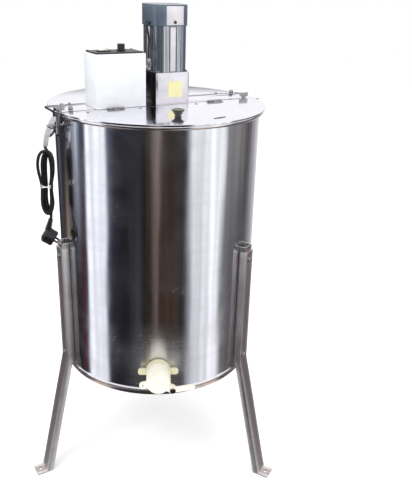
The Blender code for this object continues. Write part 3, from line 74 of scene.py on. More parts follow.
def corner(node, end):
    """A node's lowest (0) or highest (1) corner at rest."""
    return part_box(node)[end]


def middle(node):
    low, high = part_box(node)
    return (low + high) / 2


AXIS = middle("drum_shell")
RIM_REACH = (corner("drum_shell", 1).x - corner("drum_shell", 0).x) / 2
DRUM_INSIDE = RIM_REACH - 2 * RIM_ROLL
DRUM_RADIUS = DRUM_INSIDE + DRUM_WALL
DRUM_FOOT = corner("drum_shell", 0).z
DRUM_TOP = corner("drum_shell", 1).z
BEAM_TOP = corner("rear_cover", 1).z
LID_RADIUS = DRUM_RADIUS + 0.014
GATE_HEIGHT = middle("outlet_socket").z
LEG_WEB = DRUM_RADIUS + 0.020
LEG_TOP = corner("leg_rear", 1).z

DRUM = Matrix.Translation((AXIS.x, AXIS.y, 0.0))
BEAM = Matrix.Translation((AXIS.x, AXIS.y, BEAM_TOP)) @ Matrix.Rotation(BEAM_TURN, 4, "Z")
OUTLET = (
    DRUM
    @ Matrix.Rotation(OUTLET_TURN, 4, "Z")
    @ Matrix.Translation((0.0, -DRUM_RADIUS, GATE_HEIGHT))
)


def leg_line(side):
    return DRUM @ Matrix.Rotation(math.radians(LEG_TURNS[side]), 4, "Z")


# ---------------------------------------------------------------- camera
FOCAL_LENGTH = 48.94
CAMERA_PLACE = (0.08129, -1.62012, 1.27648)
CAMERA_RIGHT = (0.99939, -0.01755, 0.03021)
CAMERA_AHEAD = (0.02766, 0.92568, -0.37728)


def place_camera():
    """A lens a little longer than normal, from the front and above the rim."""
    lens = bpy.data.cameras.new("studio_camera")
    lens.lens = FOCAL_LENGTH
    lens.clip_start = 0.05
    camera = bpy.data.objects.new("studio_camera", lens)
    bpy.context.scene.collection.objects.link(camera)
    right = Vector(CAMERA_RIGHT)
    ahead = Vector(CAMERA_AHEAD).normalized()
    right = (right - ahead * right.dot(ahead)).normalized()
    up = right.cross(ahead)
    turn = Matrix((right, up, -ahead)).transposed().to_4x4()
    place = Vector(CAMERA_PLACE) + Vector((AXIS.x, AXIS.y, 0.0))
    camera.matrix_world = Matrix.Translation(place) @ turn
    bpy.context.scene.camera = camera


place_camera()


# ---------------------------------------------------------------- shader building blocks
class Sheet:
    """A node tree that is being filled in."""

    def __init__(self, tree):
        self.tree = tree

    def join(self, source, target):
        self.tree.links.new(source, target)

    def feed(self, node, inputs):
        """Gives each named input its value, or joins a socket to it."""
        for key, value in inputs.items():
            if isinstance(value, bpy.types.NodeSocket):
                self.join(value, node.inputs[key])
            else:
                node.inputs[key].default_value = value

    def add(self, kind, inputs=None, **settings):
        node = self.tree.nodes.new(kind)
        for key, value in settings.items():
            setattr(node, key, value)
        self.feed(node, inputs or {})
        return node

    def maths(self, operation, first, second=None, clamp=False):
        node = self.add("ShaderNodeMath", operation=operation, use_clamp=clamp)
        self.feed(node, {0: first} if second is None else {0: first, 1: second})
        return node.outputs[0]

    def times(self, first, second):
        return self.maths("MULTIPLY", first, second)

    def plus(self, first, second):
        return self.maths("ADD", first, second)

    def spread(self, value, low, high, to_low, to_high):
        """Maps a value from one range to another, clamped."""
        inputs = {0: value, 1: low, 2: high, 3: to_low, 4: to_high}
        return self.add("ShaderNodeMapRange", inputs).outputs[0]


def shader_group(name, inputs, outputs):
    """A shader node group with named sockets: (name, type, default)."""
    tree = bpy.data.node_groups.new(name, "ShaderNodeTree")
    for label, kind, default in inputs:
        socket = tree.interface.new_socket(name=label, in_out="INPUT", socket_type=kind)
        if default is not None:
            socket.default_value = default
    for label, kind in outputs:
        tree.interface.new_socket(name=label, in_out="OUTPUT", socket_type=kind)
    sheet = Sheet(tree)
    return tree, sheet, sheet.add("NodeGroupInput"), sheet.add("NodeGroupOutput")


def rolled_lines_group():
    """Fine parallel lines left by rolling and polishing, along the vector's X."""
    tree, sheet, given, result = shader_group(
        "rolled_lines",
        [("Vector", "NodeSocketVector", None), ("Fineness", "NodeSocketFloat", 900.0)],
        [("Lines", "NodeSocketFloat"), ("Broad", "NodeSocketFloat")],
    )
    stretch = sheet.add(
        "ShaderNodeMapping",
        {"Scale": (0.012, 1.0, 1.0), "Vector": given.outputs["Vector"]},
    )
    fine = sheet.add(
        "ShaderNodeTexNoise",
        {"Detail": 3.0, "Vector": stretch.outputs[0], "Scale": given.outputs["Fineness"]},
    )
    broad = sheet.add(
        "ShaderNodeTexNoise",
        {
            "Detail": 2.0,
            "Vector": stretch.outputs[0],
            "Scale": sheet.times(given.outputs["Fineness"], 0.12),
        },
    )
    sheet.join(fine.outputs[0], result.inputs["Lines"])
    sheet.join(broad.outputs[0], result.inputs["Broad"])
    return tree


def handling_marks_group():
    """Soft smears and small spots where hands, cloths and dust have been."""
    tree, sheet, given, result = shader_group(
        "handling_marks",
        [("Vector", "NodeSocketVector", None), ("Size", "NodeSocketFloat", 9.0)],
        [("Smears", "NodeSocketFloat"), ("Spots", "NodeSocketFloat")],
    )
    cloud = sheet.add(
        "ShaderNodeTexNoise",
        {
            "Detail": 5.0,
            "Distortion": 1.2,
            "Vector": given.outputs["Vector"],
            "Scale": given.outputs["Size"],
        },
    )
    sheet.join(sheet.spread(cloud.outputs[0], 0.45, 0.72, 0.0, 1.0), result.inputs["Smears"])
    dots = sheet.add(
        "ShaderNodeTexVoronoi",
        {
            "Vector": given.outputs["Vector"],
            "Scale": sheet.times(given.outputs["Size"], 14.0),
        },
    )
    near = sheet.spread(dots.outputs["Distance"], 0.05, 0.16, 1.0, 0.0)
    thinned = sheet.times(near, sheet.spread(cloud.outputs[0], 0.5, 0.65, 0.0, 1.0))
    sheet.join(thinned, result.inputs["Spots"])
    return tree


def moulded_grain_group():
    """The low pebbled surface of moulded plastic, paint and castings."""
    tree, sheet, given, result = shader_group(
        "moulded_grain",
        [("Vector", "NodeSocketVector", None), ("Scale", "NodeSocketFloat", 700.0)],
        [("Height", "NodeSocketFloat"), ("Mottle", "NodeSocketFloat")],
    )
    pebble = sheet.add(
        "ShaderNodeTexNoise",
        {"Detail": 2.0, "Vector": given.outputs["Vector"], "Scale": given.outputs["Scale"]},
    )
    mottle = sheet.add(
        "ShaderNodeTexNoise",
        {
            "Detail": 4.0,
            "Vector": given.outputs["Vector"],
            "Scale": sheet.times(given.outputs["Scale"], 0.05),
        },
    )
    sheet.join(pebble.outputs[0], result.inputs["Height"])
    sheet.join(mottle.outputs[0], result.inputs["Mottle"])
    return tree


ROLLED_LINES = rolled_lines_group()
HANDLING_MARKS = handling_marks_group()
MOULDED_GRAIN = moulded_grain_group()


def place_group(sheet, tree, vector, **values):
    return sheet.add("ShaderNodeGroup", {"Vector": vector, **values}, node_tree=tree)


def new_material(name):
    made = bpy.data.materials.new(name)
    made.use_nodes = True
    sheet = Sheet(made.node_tree)
    shader = made.node_tree.nodes["Principled BSDF"]
    where = sheet.add("ShaderNodeTexCoord").outputs["Object"]
    return made, sheet, shader, where


def blended(sheet, factor, first, second):
    """A colour that runs from first to second with factor; either may be a socket."""
    node = sheet.add("ShaderNodeMix", {0: factor}, data_type="RGBA")
    for socket, colour in zip((node.inputs[6], node.inputs[7]), (first, second)):
        if isinstance(colour, tuple):
            socket.default_value = (*colour, 1.0)
        else:
            sheet.join(colour, socket)
    return node.outputs[2]


def bumped(sheet, shader, height, strength, distance):
    node = sheet.add(
        "ShaderNodeBump",
        {"Strength": strength, "Distance": distance, "Height": height},
    )
    sheet.join(node.outputs[0], shader.inputs["Normal"])


def turned_coordinates(sheet, where, turn):
    """Object coordinates about the drum's axis, turned about Z."""
    node = sheet.add(
        "ShaderNodeMapping",
        {"Location": (AXIS.x, AXIS.y, 0.0), "Rotation": (0.0, 0.0, turn), "Vector": where},
        vector_type="TEXTURE",
    )
    return node.outputs[0]


def round_coordinates(sheet, where):
    """(distance round the drum, height) and the angle round it, from Object coordinates."""
    about = turned_coordinates(sheet, where, 0.0)
    apart = sheet.add("ShaderNodeSeparateXYZ", {0: about})
    away = sheet.times(apart.outputs[1], -1.0)
    angle = sheet.maths("ARCTAN2", apart.outputs[0], away)
    joined = sheet.add(
        "ShaderNodeCombineXYZ",
        {0: sheet.times(angle, DRUM_RADIUS), 1: apart.outputs[2]},
    )
    return joined.outputs[0], angle


# ---------------------------------------------------------------- finishes
def sheet_steel(name, colour, shade, roughness, rise, turn=0.0, fineness=900.0, bump=0.03):
    """Polished or brushed stainless, with its rolling lines along X after the turn."""
    made, sheet, shader, where = new_material(name)
    along = turned_coordinates(sheet, where, turn)
    lines = place_group(sheet, ROLLED_LINES, along, Fineness=fineness)
    marks = place_group(sheet, HANDLING_MARKS, where, Size=11.0)
    shader.inputs["Metallic"].default_value = 1.0
    mixed = blended(sheet, lines.outputs["Broad"], colour, shade)
    worn = blended(sheet, sheet.times(marks.outputs["Smears"], 0.35), mixed, shade)
    sheet.join(worn, shader.inputs["Base Color"])
    base = sheet.spread(lines.outputs["Lines"], 0.3, 0.7, roughness, roughness + rise)
    total = sheet.plus(base, sheet.times(marks.outputs["Smears"], 0.06))
    sheet.join(total, shader.inputs["Roughness"])
    bumped(sheet, shader, lines.outputs["Lines"], bump, 0.0004)
    return made


def drum_steel():
    """Mirror-polished sheet rolled round the drum, with a brownish painted reflection along its upright
    weld.
    """
    made, sheet, shader, where = new_material("drum_polished_sheet")
    around, angle = round_coordinates(sheet, where)
    lines = place_group(sheet, ROLLED_LINES, around, Fineness=520.0)
    marks = place_group(sheet, HANDLING_MARKS, around, Size=7.0)
    waves = sheet.add("ShaderNodeTexNoise", {"Scale": 5.0, "Detail": 1.5})
    stretch = sheet.add("ShaderNodeMapping", {"Scale": (3.0, 0.55, 1.0), "Vector": around})
    sheet.join(stretch.outputs[0], waves.inputs["Vector"])
    shader.inputs["Metallic"].default_value = 1.0
    seam_off = sheet.maths("ABSOLUTE", sheet.maths("SUBTRACT", angle, SEAM_ANGLE))
    # Painted reflection: a brownish band of colour along the upright weld.
    seam_painted_reflection = sheet.spread(seam_off, 0.012, 0.05, 0.5, 0.0)
    steel = blended(sheet, lines.outputs["Broad"], (0.90, 0.90, 0.92), (0.80, 0.80, 0.83))
    with_painted_reflection = blended(sheet, seam_painted_reflection, steel, (0.62, 0.50, 0.38))
    dulled = blended(
        sheet, sheet.times(marks.outputs["Smears"], 0.25), with_painted_reflection, (0.66, 0.66, 0.70)
    )
    sheet.join(dulled, shader.inputs["Base Color"])
    base = sheet.spread(lines.outputs["Lines"], 0.3, 0.7, 0.12, 0.17)
    smear = sheet.times(marks.outputs["Smears"], 0.07)
    spot = sheet.times(marks.outputs["Spots"], 0.12)
    off_outlet = sheet.add(
        "ShaderNodeVectorMath",
        {0: around, 1: (OUTLET_TURN * DRUM_RADIUS, GATE_HEIGHT + 0.02, 0.0)},
        operation="DISTANCE",
    )
    brushed = sheet.spread(off_outlet.outputs["Value"], 0.040, 0.115, 0.17, 0.0)
    worn = sheet.plus(smear, sheet.plus(spot, brushed))
    sheet.join(sheet.plus(base, worn), shader.inputs["Roughness"])
    grain_line = sheet.add("ShaderNodeTangent", direction_type="RADIAL", axis="Z")
    sheet.join(grain_line.outputs[0], shader.inputs["Tangent"])
    shader.inputs["Anisotropic"].default_value = 0.75
    shader.inputs["Anisotropic Rotation"].default_value = 0.25
    ridge = sheet.times(sheet.spread(seam_off, 0.002, 0.006, 1.0, 0.0), 0.25)
    relief = sheet.plus(sheet.times(waves.outputs[0], 1.6), ridge)
    relief = sheet.plus(relief, sheet.times(lines.outputs["Lines"], 0.015))
    bumped(sheet, shader, relief, 0.35, 0.0022)
    return made



def plain_finish(name, colour, shade, roughness, rise, scale=700.0, bump=0.15, metallic=0.0,
                 coat=0.0, marks_amount=0.4, depth=0.0003):
    """Paint, moulded plastic, rubber or blasted metal: a fine grain and soft handling marks."""
    made, sheet, shader, where = new_material(name)
    grain = place_group(sheet, MOULDED_GRAIN, where, Scale=scale)
    marks = place_group(sheet, HANDLING_MARKS, where, Size=16.0)
    shader.inputs["Metallic"].default_value = metallic
    shader.inputs["Coat Weight"].default_value = coat
    shader.inputs["Coat Roughness"].default_value = 0.12
    mixed = blended(sheet, sheet.spread(grain.outputs["Mottle"], 0.35, 0.65, 0.0, 1.0), colour, shade)
    worn = blended(sheet, sheet.times(marks.outputs["Smears"], marks_amount), mixed, shade)
    sheet.join(worn, shader.inputs["Base Color"])
    base = sheet.spread(grain.outputs["Mottle"], 0.3, 0.7, roughness, roughness + rise)
    total = sheet.plus(base, sheet.times(marks.outputs["Spots"], 0.1))
    sheet.join(total, shader.inputs["Roughness"])
    bumped(sheet, shader, grain.outputs["Height"], bump, depth)
    return made


def translucent_strap():
    made = plain_finish("translucent_strap", (0.86, 0.87, 0.88), (0.78, 0.79, 0.8), 0.3, 0.1)
    shader = made.node_tree.nodes["Principled BSDF"]
    shader.inputs["Transmission Weight"].default_value = 0.55
    shader.inputs["Alpha"].default_value = 0.75
    return made


DRUM_STEEL = drum_steel()
LID_STEEL = sheet_steel("lid_polished_sheet", (0.93, 0.92, 0.95), (0.88, 0.87, 0.90), 0.07, 0.06,
                        BEAM_TURN, 700.0, 0.02)
REEL_STEEL = sheet_steel("reel_drawn_wire", (0.88, 0.88, 0.90), (0.74, 0.74, 0.76), 0.30, 0.12)
BRIGHT = sheet_steel("bright_fastener", (0.52, 0.52, 0.54), (0.34, 0.33, 0.33), 0.12, 0.10)


def gearbox_casting():
    """Blasted aluminium; the side that faces the control box is coloured near black, a painted shade and
    dark reflection of the narrow gap.
    """
    made = plain_finish("gearbox_casting", (0.86, 0.85, 0.88), (0.80, 0.79, 0.82), 0.20, 0.06,
                        1100.0, 0.06, 0.95)
    sheet = Sheet(made.node_tree)
    shader = made.node_tree.nodes["Principled BSDF"]
    where = sheet.add("ShaderNodeTexCoord").outputs["Object"]
    along = sheet.add("ShaderNodeSeparateXYZ", {0: turned_coordinates(sheet, where, BEAM_TURN)})
    # Painted shade: the face turned to the control box is coloured near black, for the shadow and dark
    # reflection in the gap.
    side = sheet.spread(along.outputs[0], MOTOR_ALONG - 0.0446, MOTOR_ALONG - 0.0440, 1.0, 0.0)
    shaded = shader.inputs["Base Color"].links[0].from_socket
    sheet.join(blended(sheet, side, shaded, (0.010, 0.010, 0.012)), shader.inputs["Base Color"])
    return made


DARK_STEEL = sheet_steel("dark_machined_steel", (0.34, 0.34, 0.36), (0.24, 0.24, 0.26), 0.30, 0.15)
FIN_METAL = plain_finish("finned_extrusion", (0.25, 0.29, 0.335), (0.235, 0.27, 0.315), 0.20, 0.06,
                         900.0, 0.03, 0.85)
# Bright copy of the fin finish for the crests: a painted highlight.
FIN_PAINTED_HIGHLIGHT = plain_finish("extrusion_edges_painted_highlight", (0.86, 0.86, 0.88), (0.80, 0.80, 0.82), 0.20, 0.06,
                          900.0, 0.12, 0.9)
CAP_PAINT = plain_finish("cap_blue_grey_paint", (0.085, 0.115, 0.150), (0.066, 0.092, 0.122), 0.24,
                         0.08, 800.0, 0.10, 0.0, 0.5)
PLATE_SILVER = plain_finish("silver_plate", (0.72, 0.70, 0.72), (0.64, 0.62, 0.65), 0.38, 0.10,
                            900.0, 0.08, 0.35)
BOX_PAINT = plain_finish("box_powder_coat", (0.86, 0.88, 0.91), (0.80, 0.83, 0.87), 0.36, 0.08,
                         1300.0, 0.12, 0.0, 0.15, 0.25)
BLACK = plain_finish("black_plastic", (0.016, 0.016, 0.017), (0.028, 0.028, 0.03), 0.36, 0.14,
                     900.0, 0.25)
GLOSS_BLACK = plain_finish("black_phenolic", (0.010, 0.010, 0.011), (0.02, 0.02, 0.02), 0.16, 0.10,
                           500.0, 0.05, 0.0, 0.4)
IVORY = plain_finish("ivory_plastic", (0.87, 0.85, 0.74), (0.80, 0.77, 0.64), 0.30, 0.10,
                     600.0, 0.08, 0.0, 0.1)
BEIGE = plain_finish("beige_plastic", (0.70, 0.66, 0.46), (0.62, 0.57, 0.38), 0.36, 0.12,
                     600.0, 0.12)
ROCKER_GREY = plain_finish("rocker_plastic", (0.62, 0.60, 0.55), (0.52, 0.50, 0.46), 0.3, 0.1)
RUBBER = plain_finish("cable_sheath", (0.005, 0.005, 0.006), (0.012, 0.012, 0.013), 0.26, 0.12,
                      500.0, 0.20)
BOARD = plain_finish("lacquered_board", (0.02, 0.14, 0.07), (0.015, 0.10, 0.05), 0.3, 0.1)
LABEL = plain_finish("blank_yellow_plate", (0.90, 0.86, 0.48), (0.84, 0.79, 0.42), 0.42, 0.1,
                     700.0, 0.05)
WHITE_TIE = plain_finish("white_tie", (0.86, 0.86, 0.85), (0.74, 0.74, 0.74), 0.45, 0.1)
# Dark disc on each screw head: painted shade standing for the recess.
RECESS_PAINTED_SHADE = plain_finish("screw_recess_painted_shade", (0.02, 0.02, 0.022), (0.03, 0.03, 0.03), 0.5, 0.1)
STRAP = translucent_strap()


# ---------------------------------------------------------------- mesh building blocks
def to_mesh(form, name):
    mesh = bpy.data.meshes.new(name)
    form.to_mesh(mesh)
    form.free()
    return mesh


def smoothed(mesh, degrees=38.0):
    mesh.shade_smooth()
    mesh.set_sharp_from_angle(angle=math.radians(degrees))
    return mesh


def baked(holder, name):
    """The holder's evaluated mesh, with its modifiers applied; the holder is removed."""
    bpy.context.view_layer.update()
    graph = bpy.context.evaluated_depsgraph_get()
    mesh = bpy.data.meshes.new_from_object(holder.evaluated_get(graph))
    mesh.name = name
    bpy.data.objects.remove(holder, do_unlink=True)
    return mesh


def finished(form, name, degrees=38.0):
    """The form as a smooth mesh, with its faces pointing out."""
    bmesh.ops.recalc_face_normals(form, faces=form.faces)
    return smoothed(to_mesh(form, name), degrees)


def skin(form, first, second):
    """Faces between two closed rings of the same number of points."""
    for k in range(len(first)):
        after = (k + 1) % len(first)
        form.faces.new((first[k], first[after], second[after], second[k]))


def holder_of(mesh, name):
    holder = bpy.data.objects.new(name + "_form", mesh)
    bpy.context.scene.collection.objects.link(holder)
    return holder


def piece(name, mesh, look, body, place=None, replaces=()):
    """A finished piece: its place goes into its mesh, and it rides on its body."""
    if place is not None:
        mesh.transform(place)
    if look is not None:
        mesh.materials.clear()
        mesh.materials.append(look)
    made = bpy.data.objects.new(name, mesh)
    bpy.context.scene.collection.objects.link(made)
    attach(made, body)
    if replaces:
        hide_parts(*replaces)
    return made


def turned(name, outline, sides=BOSS_SIDES, closed=False):
    """(radius, height) points turned about Z; an open outline has both ends on the axis."""
    form = bmesh.new()
    rings = []
    for radius, height in outline:
        if radius < 1e-7:
            rings.append([form.verts.new((0.0, 0.0, height))])
            continue
        ring = []
        for k in range(sides):
            angle = 2 * math.pi * k / sides
            ring.append(form.verts.new((radius * math.cos(angle), radius * math.sin(angle), height)))
        rings.append(ring)
    pairs = list(zip(rings, rings[1:]))
    if closed:
        pairs.append((rings[-1], rings[0]))
    for first, second in pairs:
        for k in range(sides):
            after = (k + 1) % sides
            if len(first) == 1 and len(second) == 1:
                continue
            if len(first) == 1:
                form.faces.new((first[0], second[k], second[after]))
            elif len(second) == 1:
                form.faces.new((first[k], second[0], first[after]))
            else:
                form.faces.new((first[k], second[k], second[after], first[after]))
    return finished(form, name)


def arc(centre, radius, start, end, steps):
    points = []
    for k in range(steps + 1):
        angle = math.radians(start + (end - start) * k / steps)
        points.append((centre[0] + radius * math.cos(angle), centre[1] + radius * math.sin(angle)))
    return points


def rounded_block(name, size, centre, width, segments=3):
    """A block with all its edges rounded."""
    form = bmesh.new()
    place = Matrix.Translation(centre) @ Matrix.Diagonal((*size, 1.0))
    bmesh.ops.create_cube(form, size=1.0, matrix=place)
    bmesh.ops.bevel(
        form, geom=form.edges[:], offset=width, segments=segments, profile=0.5, affect="EDGES"
    )
    return smoothed(to_mesh(form, name))


def rod(name, start, end, radius, sides=32, edge=0.0):
    """A rod from start to end with softened ends."""
    run = Vector(end) - Vector(start)
    length = run.length
    edge = min(edge, radius * 0.9, length * 0.4)
    outline = [(0.0, length), (radius - edge, length), (radius, length - edge), (radius, edge)]
    outline += [(radius - edge, 0.0), (0.0, 0.0)]
    if edge == 0.0:
        outline = [(0.0, length), (radius, length), (radius, 0.0), (0.0, 0.0)]
    mesh = turned(name, outline, sides)
    mesh.transform(Matrix.Translation(start) @ run.to_track_quat("Z", "Y").to_matrix().to_4x4())
    return mesh


def joined(name, meshes):
    """Several meshes in one, with their materials kept."""
    form = bmesh.new()
    looks = []
    for mesh in meshes:
        offset = len(looks)
        looks += list(mesh.materials)
        before = len(form.faces)
        form.from_mesh(mesh)
        form.faces.ensure_lookup_table()
        for face in form.faces[before:]:
            face.material_index += offset
    whole = to_mesh(form, name)
    for look in looks:
        whole.materials.append(look)
    return smoothed(whole)


def softened(node, width, look, body, segments=2, name=None):
    """A CAD node with its sharp edges rounded over; it stands for the node."""
    form = bmesh.new()
    form.from_mesh(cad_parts[node].data)
    bmesh.ops.remove_doubles(form, verts=form.verts, dist=0.00002)
    bmesh.ops.dissolve_limit(
        form, angle_limit=math.radians(1.0), verts=form.verts, edges=form.edges
    )
    holder = holder_of(to_mesh(form, node), node)
    bevel = holder.modifiers.new("edges", "BEVEL")
    bevel.width = width
    bevel.segments = segments
    bevel.limit_method = "ANGLE"
    bevel.angle_limit = math.radians(35.0)
    bevel.use_clamp_overlap = True
    mesh = smoothed(baked(holder, node), 42.0)
    return piece(name or node + "_finish", mesh, look, body, None, (node,))


# ---------------------------------------------------------------- repeated things
def geometry_tree(name, inputs):
    """A Geometry Nodes tree with a geometry input, named inputs and a geometry output."""
    tree = bpy.data.node_groups.new(name, "GeometryNodeTree")
    tree.interface.new_socket(name="Geometry", in_out="INPUT", socket_type="NodeSocketGeometry")
    for label, kind in inputs:
        tree.interface.new_socket(name=label, in_out="INPUT", socket_type=kind)
    tree.interface.new_socket(name="Geometry", in_out="OUTPUT", socket_type="NodeSocketGeometry")
    sheet = Sheet(tree)
    return tree, sheet, sheet.add("NodeGroupInput"), sheet.add("NodeGroupOutput")


def finish_tree(sheet, given, result, instances):
    solid = sheet.add("GeometryNodeRealizeInstances", {0: instances})
    coat = sheet.add(
        "GeometryNodeSetMaterial",
        {"Geometry": solid.outputs[0], "Material": given.outputs["Material"]},
    )
    sheet.join(coat.outputs[0], result.inputs[0])


def rod_row_tree():
    """A row of rods: Count copies from Start, one Step apart, each as long as Run."""
    inputs = [("Count", "NodeSocketInt"), ("Start", "NodeSocketVector"),
              ("Step", "NodeSocketVector"), ("Run", "NodeSocketVector"),
              ("Radius", "NodeSocketFloat"), ("Material", "NodeSocketMaterial")]
    tree, sheet, given, result = geometry_tree("row_of_rods", inputs)
    line = sheet.add(
        "GeometryNodeMeshLine",
        {
            "Count": given.outputs["Count"],
            "Start Location": given.outputs["Start"],
            "Offset": given.outputs["Step"],
        },
        mode="OFFSET",
    )
    bar = sheet.add("GeometryNodeCurvePrimitiveLine", {"End": given.outputs["Run"]})
    ring = sheet.add(
        "GeometryNodeCurvePrimitiveCircle",
        {"Resolution": 8, "Radius": given.outputs["Radius"]},
    )
    tube = sheet.add(
        "GeometryNodeCurveToMesh",
        {"Fill Caps": True, "Curve": bar.outputs[0], "Profile Curve": ring.outputs[0]},
    )
    copies = sheet.add(
        "GeometryNodeInstanceOnPoints",
        {"Points": line.outputs[0], "Instance": tube.outputs[0]},
    )
    finish_tree(sheet, given, result, copies.outputs[0])
    return tree


def ring_tree():
    """Upright ribs round a circle: the grip of a knob, or the knurl of a connector."""
    inputs = [("Count", "NodeSocketInt"), ("Reach", "NodeSocketFloat"), ("Radius", "NodeSocketFloat"),
              ("Height", "NodeSocketFloat"), ("Material", "NodeSocketMaterial")]
    tree, sheet, given, result = geometry_tree("ring_of_ribs", inputs)
    ring = sheet.add(
        "GeometryNodeMeshCircle",
        {"Vertices": given.outputs["Count"], "Radius": given.outputs["Reach"]},
    )
    rib = sheet.add(
        "GeometryNodeMeshCylinder",
        {"Vertices": 10, "Radius": given.outputs["Radius"], "Depth": given.outputs["Height"]},
    )
    copies = sheet.add(
        "GeometryNodeInstanceOnPoints",
        {"Points": ring.outputs[0], "Instance": rib.outputs[0]},
    )
    finish_tree(sheet, given, result, copies.outputs[0])
    return tree


def fastener_tree():
    """A washer, a head and its recess on every point, all turned the same way; the recess is a flat dark
    disc, painted shade.
    """
    inputs = [("Turn", "NodeSocketRotation"), ("Sides", "NodeSocketInt"), ("Radius", "NodeSocketFloat"),
              ("Height", "NodeSocketFloat"), ("Washer", "NodeSocketFloat"),
              ("Recess", "NodeSocketFloat"), ("Material", "NodeSocketMaterial"),
              ("Dark", "NodeSocketMaterial")]
    tree, sheet, given, result = geometry_tree("fasteners", inputs)

    def disc(sides, radius, depth, low, top=None):
        shape = {"Vertices": sides, "Radius Bottom": radius, "Radius Top": top or radius}
        node = sheet.add("GeometryNodeMeshCone", {**shape, "Depth": depth})
        lift = sheet.add("ShaderNodeCombineXYZ", {2: low})
        moved = sheet.add(
            "GeometryNodeTransform",
            {"Geometry": node.outputs[0], "Translation": lift.outputs[0]},
        )
        return moved.outputs[0]

    def share(part):
        return sheet.times(given.outputs["Height"], part)

    sides = given.outputs["Sides"]
    radius = given.outputs["Radius"]
    washer = disc(20, given.outputs["Washer"], share(0.22), 0.0)
    shank = disc(sides, radius, share(0.62), share(0.20))
    dome = disc(sides, radius, share(0.20), share(0.80), sheet.times(radius, 0.80))
    bright = sheet.add("GeometryNodeJoinGeometry")
    for part in (washer, shank, dome):
        sheet.join(part, bright.inputs[0])
    coat = sheet.add(
        "GeometryNodeSetMaterial",
        {"Geometry": bright.outputs[0], "Material": given.outputs["Material"]},
    )
    # The recess is a flat dark disc: painted shade, not a hole.
    hole = disc(6, given.outputs["Recess"], share(0.22), share(0.82))
    dark = sheet.add(
        "GeometryNodeSetMaterial",
        {"Geometry": hole, "Material": given.outputs["Dark"]},
    )
    whole = sheet.add("GeometryNodeJoinGeometry")
    for part in (coat, dark):
        sheet.join(part.outputs[0], whole.inputs[0])
    copies = sheet.add(
        "GeometryNodeInstanceOnPoints",
        {
            "Points": given.outputs["Geometry"],
            "Instance": whole.outputs[0],
            "Rotation": given.outputs["Turn"],
        },
    )
    solid = sheet.add("GeometryNodeRealizeInstances", {0: copies.outputs[0]})
    sheet.join(solid.outputs[0], result.inputs[0])
    return tree


ROD_ROW = rod_row_tree()
RIB_RING = ring_tree()
FASTENERS = fastener_tree()


def grown(name, tree, points=((0.0, 0.0, 0.0),), **values):
    """The mesh that a tree makes from its points and named inputs."""
    mesh = bpy.data.meshes.new(name)
    mesh.from_pydata([tuple(point) for point in points], [], [])
    holder = holder_of(mesh, name)
    step = holder.modifiers.new("grow", "NODES")
    step.node_group = tree
    sockets = {item.name: item for item in tree.interface.items_tree
               if item.in_out == "INPUT" and item.name != "Geometry"}
    for key, value in values.items():
        step[sockets[key].identifier] = value
    mesh = baked(holder, name)
    return smoothed(mesh, 35.0)


def fasteners(name, points, aim, radius, height, body, sides=24,
              washer=None, recess=None, look=None, place=None):
    """Heads at points, standing along aim; all in the same frame as place."""
    turn = Vector(aim).to_track_quat("Z", "Y").to_euler()
    mesh = grown(
        name,
        FASTENERS,
        points,
        Turn=tuple(turn),
        Sides=sides,
        Radius=radius,
        Height=height,
        Washer=washer or radius * 1.02,
        Recess=recess or radius * 0.5,
        Material=look or BRIGHT,
        Dark=RECESS_PAINTED_SHADE,
    )
    return piece(name, mesh, None, body, place)


# ---------------------------------------------------------------- mains cord, first of all
def beam_point(along, across, height):
    return BEAM @ Vector((along, across, height))


def round_point(azimuth, reach, height):
    angle = math.radians(azimuth)
    return Vector((AXIS.x + reach * math.sin(angle), AXIS.y - reach * math.cos(angle), height))


HANK = middle("cord_hank")
HANK_LOW = corner("cord_hank", 0).z
HANK_HIGH = corner("cord_hank", 1).z
WALL_LIE = DRUM_RADIUS + CORD_RADIUS + 0.0018
WAIST_DROP = 0.092

# each loop's (middle, half width) where it is widest above, at the tie and below, and its rise
HANK_LOOPS = (
    ((0.0000, 0.0215), (0.0000, 0.0102), (-0.0005, 0.0168), 0.0000, 0.0000),
    ((0.0046, 0.0158), (0.0004, 0.0078), (-0.0030, 0.0136), 0.0030, 0.0035),
    ((0.0064, 0.0128), (0.0008, 0.0056), (0.0020, 0.0118), 0.0012, 0.0015),
    ((0.0072, 0.0112), (0.0010, 0.0042), (0.0030, 0.0108), 0.0055, 0.0060),
)


def hank_centreline():
    """Loops of cord gathered at the tie, hanging below the crossbar's end."""
    points = []
    waist = HANK_HIGH - WAIST_DROP
    steps = 44
    for turn, (above, tied, below, lift, drop) in enumerate(HANK_LOOPS):
        low = HANK_LOW + 0.0040 + lift
        high = HANK_HIGH - 0.0040 - drop
        for k in range(steps):
            angle = 2 * math.pi * k / steps
            rise = (1 + math.cos(angle)) / 2
            height = low + (high - low) * rise**0.92
            wide = above if height > waist else below
            open_share = math.sin(min(1.0, abs(height - waist) / 0.058) * math.pi / 2) ** 1.4
            centre = tied[0] + (wide[0] - tied[0]) * open_share
            reach = tied[1] + (wide[1] - tied[1]) * open_share
            edge = math.copysign(abs(math.sin(angle)) ** 0.72, math.sin(angle))
            across = -0.0066 + 0.0044 * (turn + k / steps)
            points.append(Vector((HANK.x + centre + reach * edge, HANK.y + across, height)))
    return points


def spaced(points, step):
    """Points at even steps along a broken line, its ends kept."""
    made = [points[0].copy()]
    spare = step
    for first, second in zip(points, points[1:]):
        run = (second - first).length
        done = 0.0
        while run - done >= spare:
            done += spare
            made.append(first.lerp(second, done / run))
            spare = step
        spare -= run - done
    made[-1] = points[-1].copy()
    return made


def evened(points):
    """The same line with its corners eased, as a cord's own stiffness eases them."""
    line = spaced(points, 0.004)
    for _ in range(14):
        eased = [(a + b * 2 + c) / 4 for a, b, c in zip(line, line[1:], line[2:])]
        line = [line[0]] + eased + [line[-1]]
    return spaced(line, 0.007)


